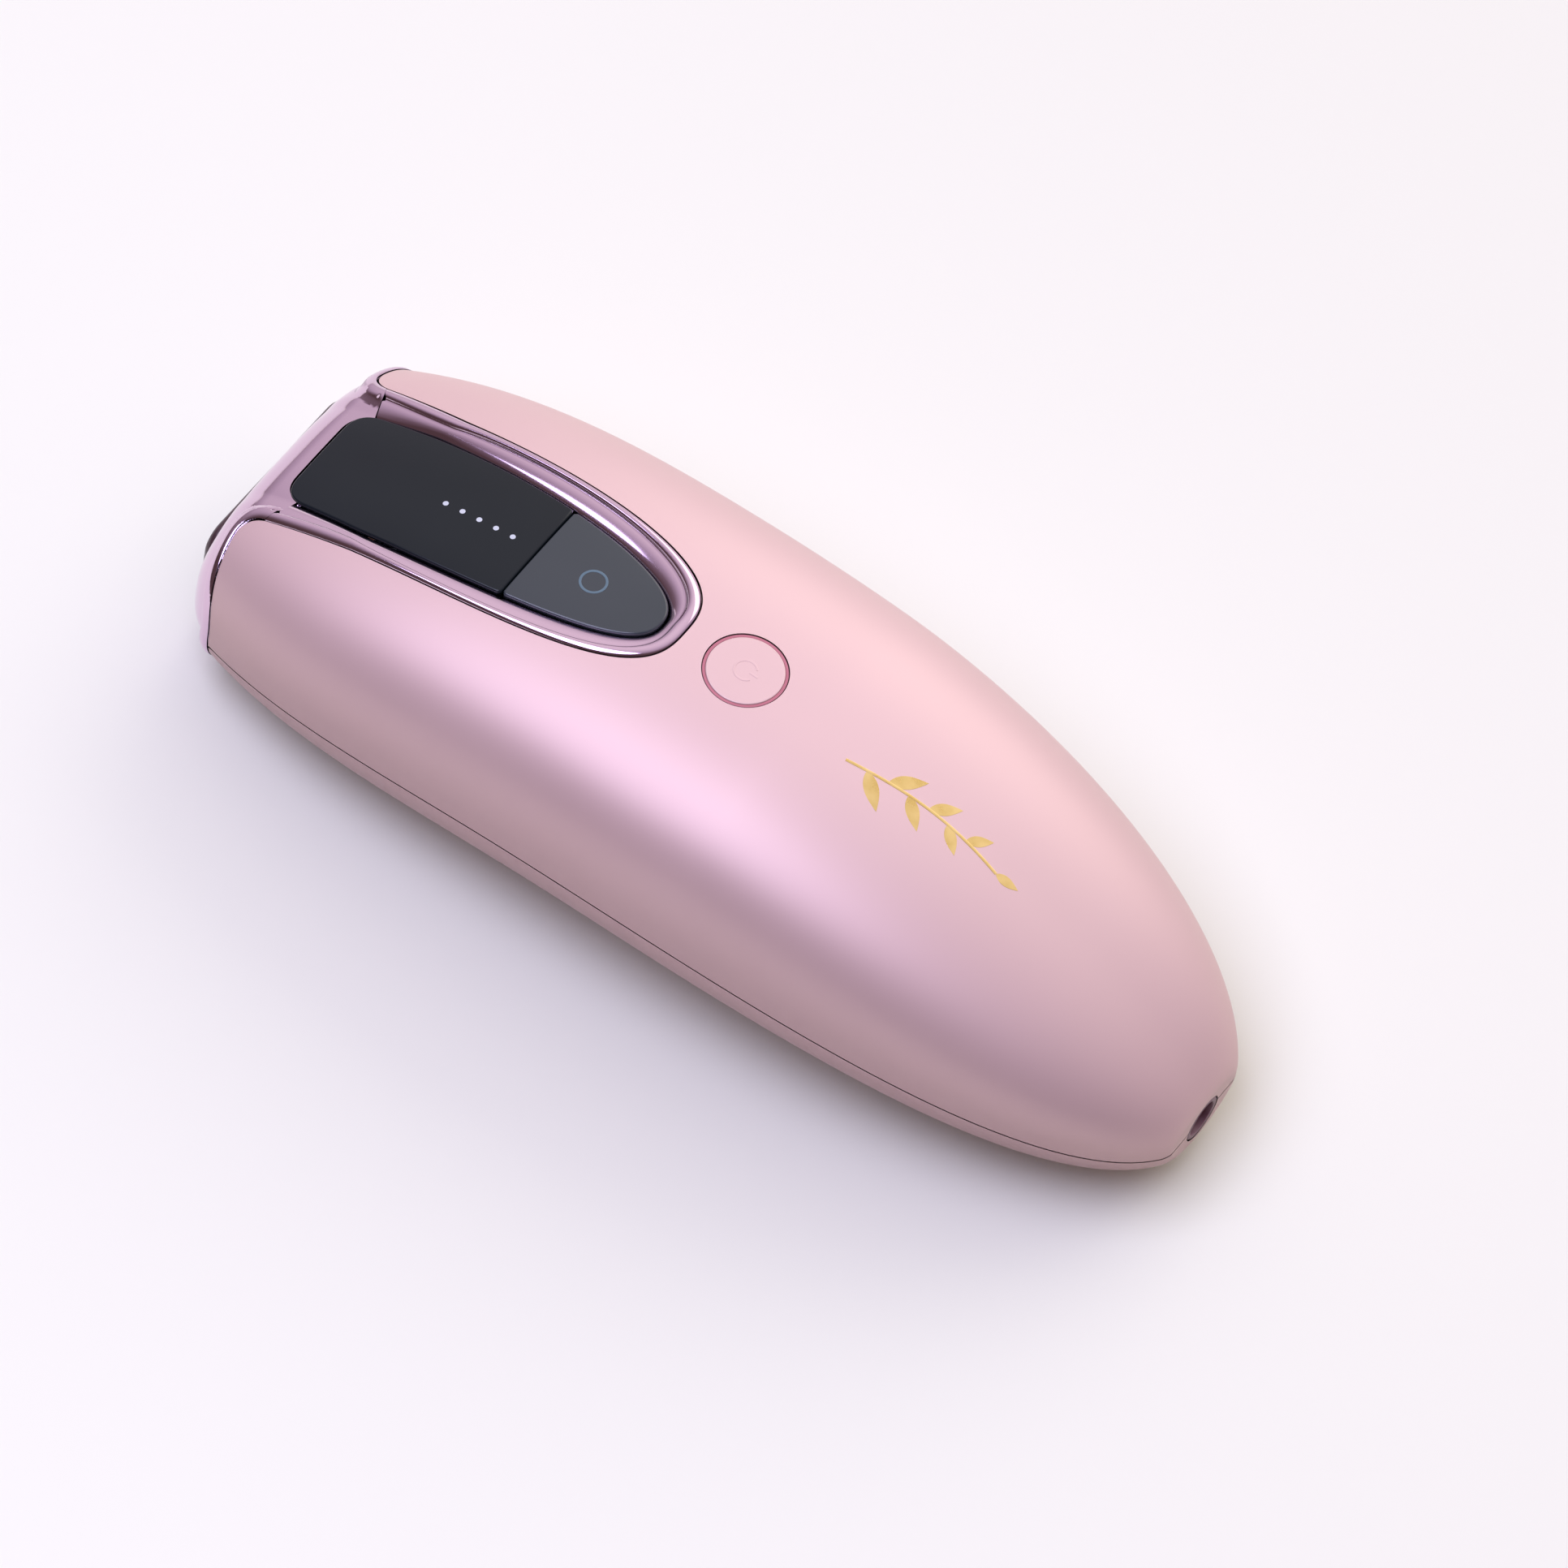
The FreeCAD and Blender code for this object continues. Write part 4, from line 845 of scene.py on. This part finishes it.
def build_nose():
    gap = PART_GAP / 2 + ROLL
    lower, edge, front = nose_half_line(gap)
    half = np.vstack([lower, edge, front])
    hole = nose_hole()
    ends = hole[[0, -1]]
    ends[:, 1] = -math.pi / 2 * GAUGE, (-math.pi / 2 + 2 * math.pi) * GAUGE
    rim = np.vstack([ends[1:], hole[::-1], ends[:1]])
    down = np.linspace(half[0, 0], rim[-1, 0], 24)[1:-1]
    first_cut = np.stack([down, np.full_like(down, ends[0, 1])], axis=-1)
    second_cut = first_cut + [0.0, 2 * math.pi * GAUGE]
    outer = np.vstack([half, mirrored(half, math.pi), second_cut, rim, first_cut[::-1]])
    rows = rows_beside(np.vstack([lower, edge]), CREASE_ROWS)
    rows = np.vstack([rows, mirrored(rows, math.pi)[::-1]])
    rows = rows[inside(rows, [outer])]
    rows = rows[distance(rows, outer) > 0.12]
    piece = plate("nose", nose_surface, [outer], nose_step, thick=1.2, cut_q=tuple(ends[:, 1]),
                  extra=rows)
    finish_piece(piece, CHROME, replaced=["nose_bezel"])


def build_trim():
    """The plated surround: each row runs from the pink edge over the bead down to the panel."""
    bunching = 0.985            # near 1, the rows stand closer together at both ends
    share = np.sin(np.linspace(-math.pi / 2, math.pi / 2, 361) * bunching)
    share = share / math.sin(math.pi / 2 * bunching)
    outer = trim_outline(share, -PART_GAP / 2, TRIM_FRONT_X)
    inner = panel_outline(share, PART_GAP / 2, SEAM_INNER_X)
    offsets, depths = TRIM_PROFILE.T
    rows = []
    for start, end, full in zip(outer, inner, np.linalg.norm(inner - outer, axis=1)):
        stretched = TRIM_FIXED + (offsets - TRIM_FIXED) * (full - TRIM_FIXED) / (offsets[-1] - TRIM_FIXED)
        across = np.where(offsets > TRIM_FIXED, stretched, offsets)
        rows.append(start + (end - start) * (across / full)[:, None])
    rows = np.array(rows)
    points = [top_surface(depth)(*rows[:, k].T) for k, depth in enumerate(depths)]
    piece = sweep("surround", np.stack(points, axis=1), sharp=50.0)
    finish_piece(piece, CHROME, replaced=["panel_trim"])


# ---- panel ----
def build_panel():
    surface = top_surface(PANEL_DEPTH)
    roll = PANEL_ROLL * 0.8
    low, high = node_box("flash_key")
    seam = low[0] - 0.15
    front = clip_outline(panel_loop(-PANEL_ROLL), seam - 0.06 - roll, -1)
    piece = plate("display_glass", surface, [front], 0.9, roll=roll, thick=1.9)
    finish_piece(piece, GLASS_BLACK, replaced=["display_window"])
    rear = clip_outline(panel_loop(-PANEL_ROLL - 0.1), seam + 0.10 + roll, 1)
    piece = plate("flash_pad", surface, [rear], 0.9, roll=roll, thick=1.9)
    finish_piece(piece, KEY_BLACK, "flash_key", ["flash_key"])
    middle = ((low[0] + high[0]) / 2 - FLASH_ICON_AHEAD, 0.0)
    stroke = bar_profile(0.4, -0.1, 0.03, 0.02)
    ring = sweep_on("flash_icon", surface, circle(middle, FLASH_ICON_R), stroke, closed_run=True)
    finish_piece(ring, ICON, "flash_key")
    first = node_box("level_leds")[0][0] + LEVEL_FIRST
    for i in range(LEVEL_DOTS):
        outline = circle((first + LEVEL_PITCH * i, 0.0), LEVEL_R, 20)
        dot = plate("level_dot_%d" % (i + 1), top_surface(PANEL_DEPTH - 0.02), [outline], 0.3,
                    roll=0.03, thick=0.1)
        finish_piece(dot, LEVEL)


# ---- power button ----
def build_button():
    crown, middle = top_surface(0.0), (BUTTON_X, 0.0)
    cap = plate("power_cap", crown, [circle(middle, BUTTON_R - CAP_ROLL)], 0.5, roll=CAP_ROLL, thick=1.8)
    finish_piece(cap, PINK, "power_button", ["power_button"])
    halo = sweep_on("power_halo", top_surface(HALO_DEPTH), circle(middle, BUTTON_R + HALO_WIDTH / 2, 96),
                    bar_profile(HALO_WIDTH - 0.06, -1.6, 0.0, 0.05), closed_run=True)
    finish_piece(halo, HALO, replaced=["power_button_ring"])
    stroke = bar_profile(0.34, -0.15, 0.045, 0.04)
    ring = arc(middle, POWER_ICON_R, POWER_ICON_GAP, 2 * math.pi - POWER_ICON_GAP, 60)
    bar = np.stack([np.linspace(0.75, 2.2, 10) + BUTTON_X, np.zeros(10)], axis=-1)
    for name, line in (("power_icon_ring", ring), ("power_icon_bar", bar)):
        finish_piece(sweep_on(name, crown, line, stroke), PINK, "power_button")


# ---- ornament ----
def leaf(name, root, angle, length, wide):
    """A flat pointed leaf laid on the crown."""
    t = np.linspace(0.0, 1.0, 19)
    half = wide / 2 * np.sin(math.pi * t ** 0.8)
    upper = np.stack([t * length, half], axis=-1)
    lower = np.stack([t * length, -half], axis=-1)[1:-1][::-1]
    turned = np.array([[math.cos(angle), math.sin(angle)], [-math.sin(angle), math.cos(angle)]])
    outline = np.vstack([upper, lower]) @ turned + root
    piece = plate(name, top_surface(-0.03), [outline], 0.5, roll=0.03, thick=0.12)
    finish_piece(piece, GOLD)


def build_sprig():
    """A stem with leaves on either side by turns and one at its end, each smaller than the last."""
    t = np.linspace(0.0, 1.0, 40)
    x, y = SPRIG_START
    stem = np.stack([x + SPRIG_LENGTH * t, y + SPRIG_BOW * np.sin(t * math.pi * 0.8)], axis=-1)
    piece = sweep_on("sprig_stem", top_surface(0.0), stem, bar_profile(0.5, -0.1, 0.05, 0.04))
    finish_piece(piece, GOLD)
    for i in range(SPRIG_LEAVES):
        last = i == SPRIG_LEAVES - 1
        root = stem[-1] if last else stem[5 + 5 * i]
        angle = 0.1 if last else LEAF_ANGLE * (1 if i % 2 else -1)
        leaf("sprig_leaf_%d" % (i + 1), root, angle, LEAF_LENGTH - 0.45 * i, LEAF_WIDTH - 0.12 * i)


# ---- treatment window and tail ----
def build_contact_frame():
    """The window's frame: a band with a rounded rim outside and a finer one at the window."""
    low, high = node_box("window_frame")
    middle, (wide, tall) = ((low + high) / 2)[1:], (high - low)[1:]
    window_low, window_high = node_box("sapphire_window")
    lip = (wide - ((window_high - window_low)[1] - 2 * WINDOW_OVERLAP)) / 2
    front, rim, inner_rim = low[0], 1.2, 0.8
    profile = [(0.0, high[0]), (0.0, front + 1.6)]
    profile += [(rim - rim * math.cos(a), front + rim - rim * math.sin(a))
                for a in np.linspace(0.1, math.pi / 2, 7)]
    profile += [(lip - inner_rim + inner_rim * math.sin(a), front + inner_rim - inner_rim * math.cos(a))
                for a in np.linspace(0, math.pi / 2, 6)]
    profile += [(lip, front + 1.6)]
    rows = []
    for inset, x in profile:
        corner = max(FRAME_CORNER - inset, 1.5)
        ring = rounded_rectangle(middle, wide - 2 * inset, tall - 2 * inset, corner)
        rows.append(np.stack([np.full(len(ring), x), ring[:, 0], ring[:, 1]], axis=-1))
    piece = sweep("contact_frame", np.swapaxes(rows, 0, 1), closed_run=True, closed_profile=False)
    finish_piece(piece, FRAME_GREY, replaced=["window_frame"])


def build_socket():
    """The socket's collar: a thin ring with a rounded lip round the plug's hole."""
    low, high = node_box("jack_collar")
    middle, (inner, outer) = ((low + high) / 2)[1:], (low[0], high[0])
    bore = node_box("dc_jack_pin")[1][2] - middle[1] + PLUG_CLEAR
    outer_r = SOCKET_HOLE_R - 0.05
    lip = [(bore, inner), (bore, outer - 0.35), (bore + 0.12, outer - 0.1), (bore + 0.4, outer),
           (outer_r - 0.25, outer), (outer_r - 0.05, outer - 0.1), (outer_r, outer - 0.3),
           (outer_r, inner)]
    rows = []
    for angle in np.linspace(0.0, 2 * math.pi, 73)[:-1]:
        y, z = math.cos(angle), math.sin(angle)
        rows.append([(x, middle[0] + r * y, middle[1] + r * z) for r, x in lip])
    piece = sweep("socket_collar", rows, closed_run=True)
    finish_piece(piece, MAUVE_PLASTIC, replaced=["jack_collar"])


# ---- the build ----
def pink_edge_line():
    """The shells' front edge and the trim's first stretch, as points in space."""
    seam_angle = seam_line(0.0)[0, 1] / GAUGE
    angle = np.linspace(-math.pi / 2, seam_angle, 120)
    lower = np.stack([np.full_like(angle, SIDE_EDGE_X), angle * GAUGE], axis=-1)
    edge = shoulder_line(0.0)
    half = shell_surface(*np.vstack([lower, edge[edge[:, 0] < EDGE_END_X]]).T)
    half = resample(half, 0.06)
    return np.vstack([half, half * [1.0, -1.0, 1.0]])


PINK_EDGE = pink_edge_line()
build_upper_skin()
build_lower_skin()
build_nose()
build_trim()
build_panel()
build_button()
build_sprig()
build_contact_frame()
build_socket()


# ---- floor, light and camera ----
def bounce_painted_shade(material, tone):
    """Paints shade: the diffuse light that the material sends on takes a dark colour, while camera rays
    still see its own colour, so things beside it get painted shade.
    """
    tree = material.node_tree
    colour = tree.nodes["Principled BSDF"].inputs["Base Color"]
    seen = colour.links[0].from_socket
    mix = tree.nodes.new("ShaderNodeMix")
    mix.data_type = "RGBA"
    mix.inputs["B"].default_value = (*tone, 1.0)
    path = tree.nodes.new("ShaderNodeLightPath")
    tree.links.new(path.outputs["Is Diffuse Ray"], mix.inputs["Factor"])
    tree.links.new(seen, mix.inputs["A"])
    tree.links.new(mix.outputs["Result"], colour)


def build_floor():
    mesh = bpy.data.meshes.new("floor")
    half = 3.0
    corners = [(-half, -half, 0), (half, -half, 0), (half, half, 0), (-half, half, 0)]
    mesh.from_pydata(corners, [], [(0, 1, 2, 3)])
    floor = bpy.data.objects.new("floor", mesh)
    bpy.context.scene.collection.objects.link(floor)
    paper = surface_material("paper", [(0.95, 0.98, 0.83), (0.96, 0.99, 0.84)], (0.8, 0.9), 3.0)
    # painted shade: the pale floor sends dark diffuse light on to the handset, which darkens its lower
    # side
    bounce_painted_shade(paper, (0.15, 0.10, 0.10))
    floor.data.materials.append(paper)


def area_light(name, place, wide, deep, power, colour):
    """A rectangular light, in metres and watts, that faces the handset."""
    data = bpy.data.lights.new(name, "AREA")
    data.energy, data.color = power, colour
    data.shape, data.size, data.size_y = "RECTANGLE", wide, deep
    lamp = bpy.data.objects.new(name, data)
    bpy.context.scene.collection.objects.link(lamp)
    lamp.location = place
    lamp.rotation_euler = (Vector((0.0, 0.0, 0.03)) - Vector(place)).to_track_quat("-Z", "Y").to_euler()


def build_light():
    """A studio that is brightest above the far side, and two soft lights."""
    scene = bpy.context.scene
    scene.view_settings.view_transform = "Standard"
    world = bpy.data.worlds.new("studio")
    scene.world = world
    world.use_nodes = True
    tree = world.node_tree
    where = tree.nodes.new("ShaderNodeTexCoord")
    toward = tree.nodes.new("ShaderNodeVectorMath")
    toward.operation = "DOT_PRODUCT"
    toward.inputs[1].default_value = Vector((-0.15, 0.75, 0.64)).normalized()
    tree.links.new(where.outputs["Generated"], toward.inputs[0])
    tones = [(0.10, 0.065, 0.065), (0.20, 0.15, 0.17), (0.56, 0.48, 0.56), (0.95, 0.86, 0.90)]
    glow = ramp(tree, toward.outputs["Value"], tones, [0.0, 0.25, 0.6, 0.95])
    tree.links.new(glow, tree.nodes["Background"].inputs["Color"])
    tree.nodes["Background"].inputs["Strength"].default_value = 1.0
    area_light("crown_light", (-0.30, -0.50, 1.35), 1.3, 1.0, 17.4, (0.70, 0.69, 1.0))
    area_light("far_light", (0.1, 1.4, 1.0), 1.6, 1.0, 6.5, (1.0, 0.94, 0.88))


def build_camera():
    """A long lens at the photograph's angle, aimed a little beside the object's middle."""
    turn_angle, rise, roll = (math.radians(a) for a in (CAMERA_TURN, CAMERA_RISE, CAMERA_ROLL))
    level_back = Vector((math.sin(turn_angle), -math.cos(turn_angle), 0.0))
    back = level_back * math.cos(rise) + Vector((0.0, 0.0, math.sin(rise)))
    level = Vector((math.cos(turn_angle), math.sin(turn_angle), 0.0))
    upright = back.cross(level)
    right = level * math.cos(roll) + upright * math.sin(roll)
    up = upright * math.cos(roll) - level * math.sin(roll)
    aim = Vector((0.0, 0.0, AIM_Z)) + right * AIM_RIGHT - up * AIM_DOWN
    data = bpy.data.cameras.new("camera")
    data.lens, data.sensor_width = 255.0, 36.0
    data.clip_start, data.clip_end = 0.05, 20.0
    camera = bpy.data.objects.new("camera", data)
    bpy.context.scene.collection.objects.link(camera)
    turned = Matrix((right, up, back)).transposed().to_4x4()
    camera.matrix_world = Matrix.Translation(aim + back * CAMERA_DISTANCE) @ turned
    bpy.context.scene.camera = camera


build_floor()
build_light()
build_camera()
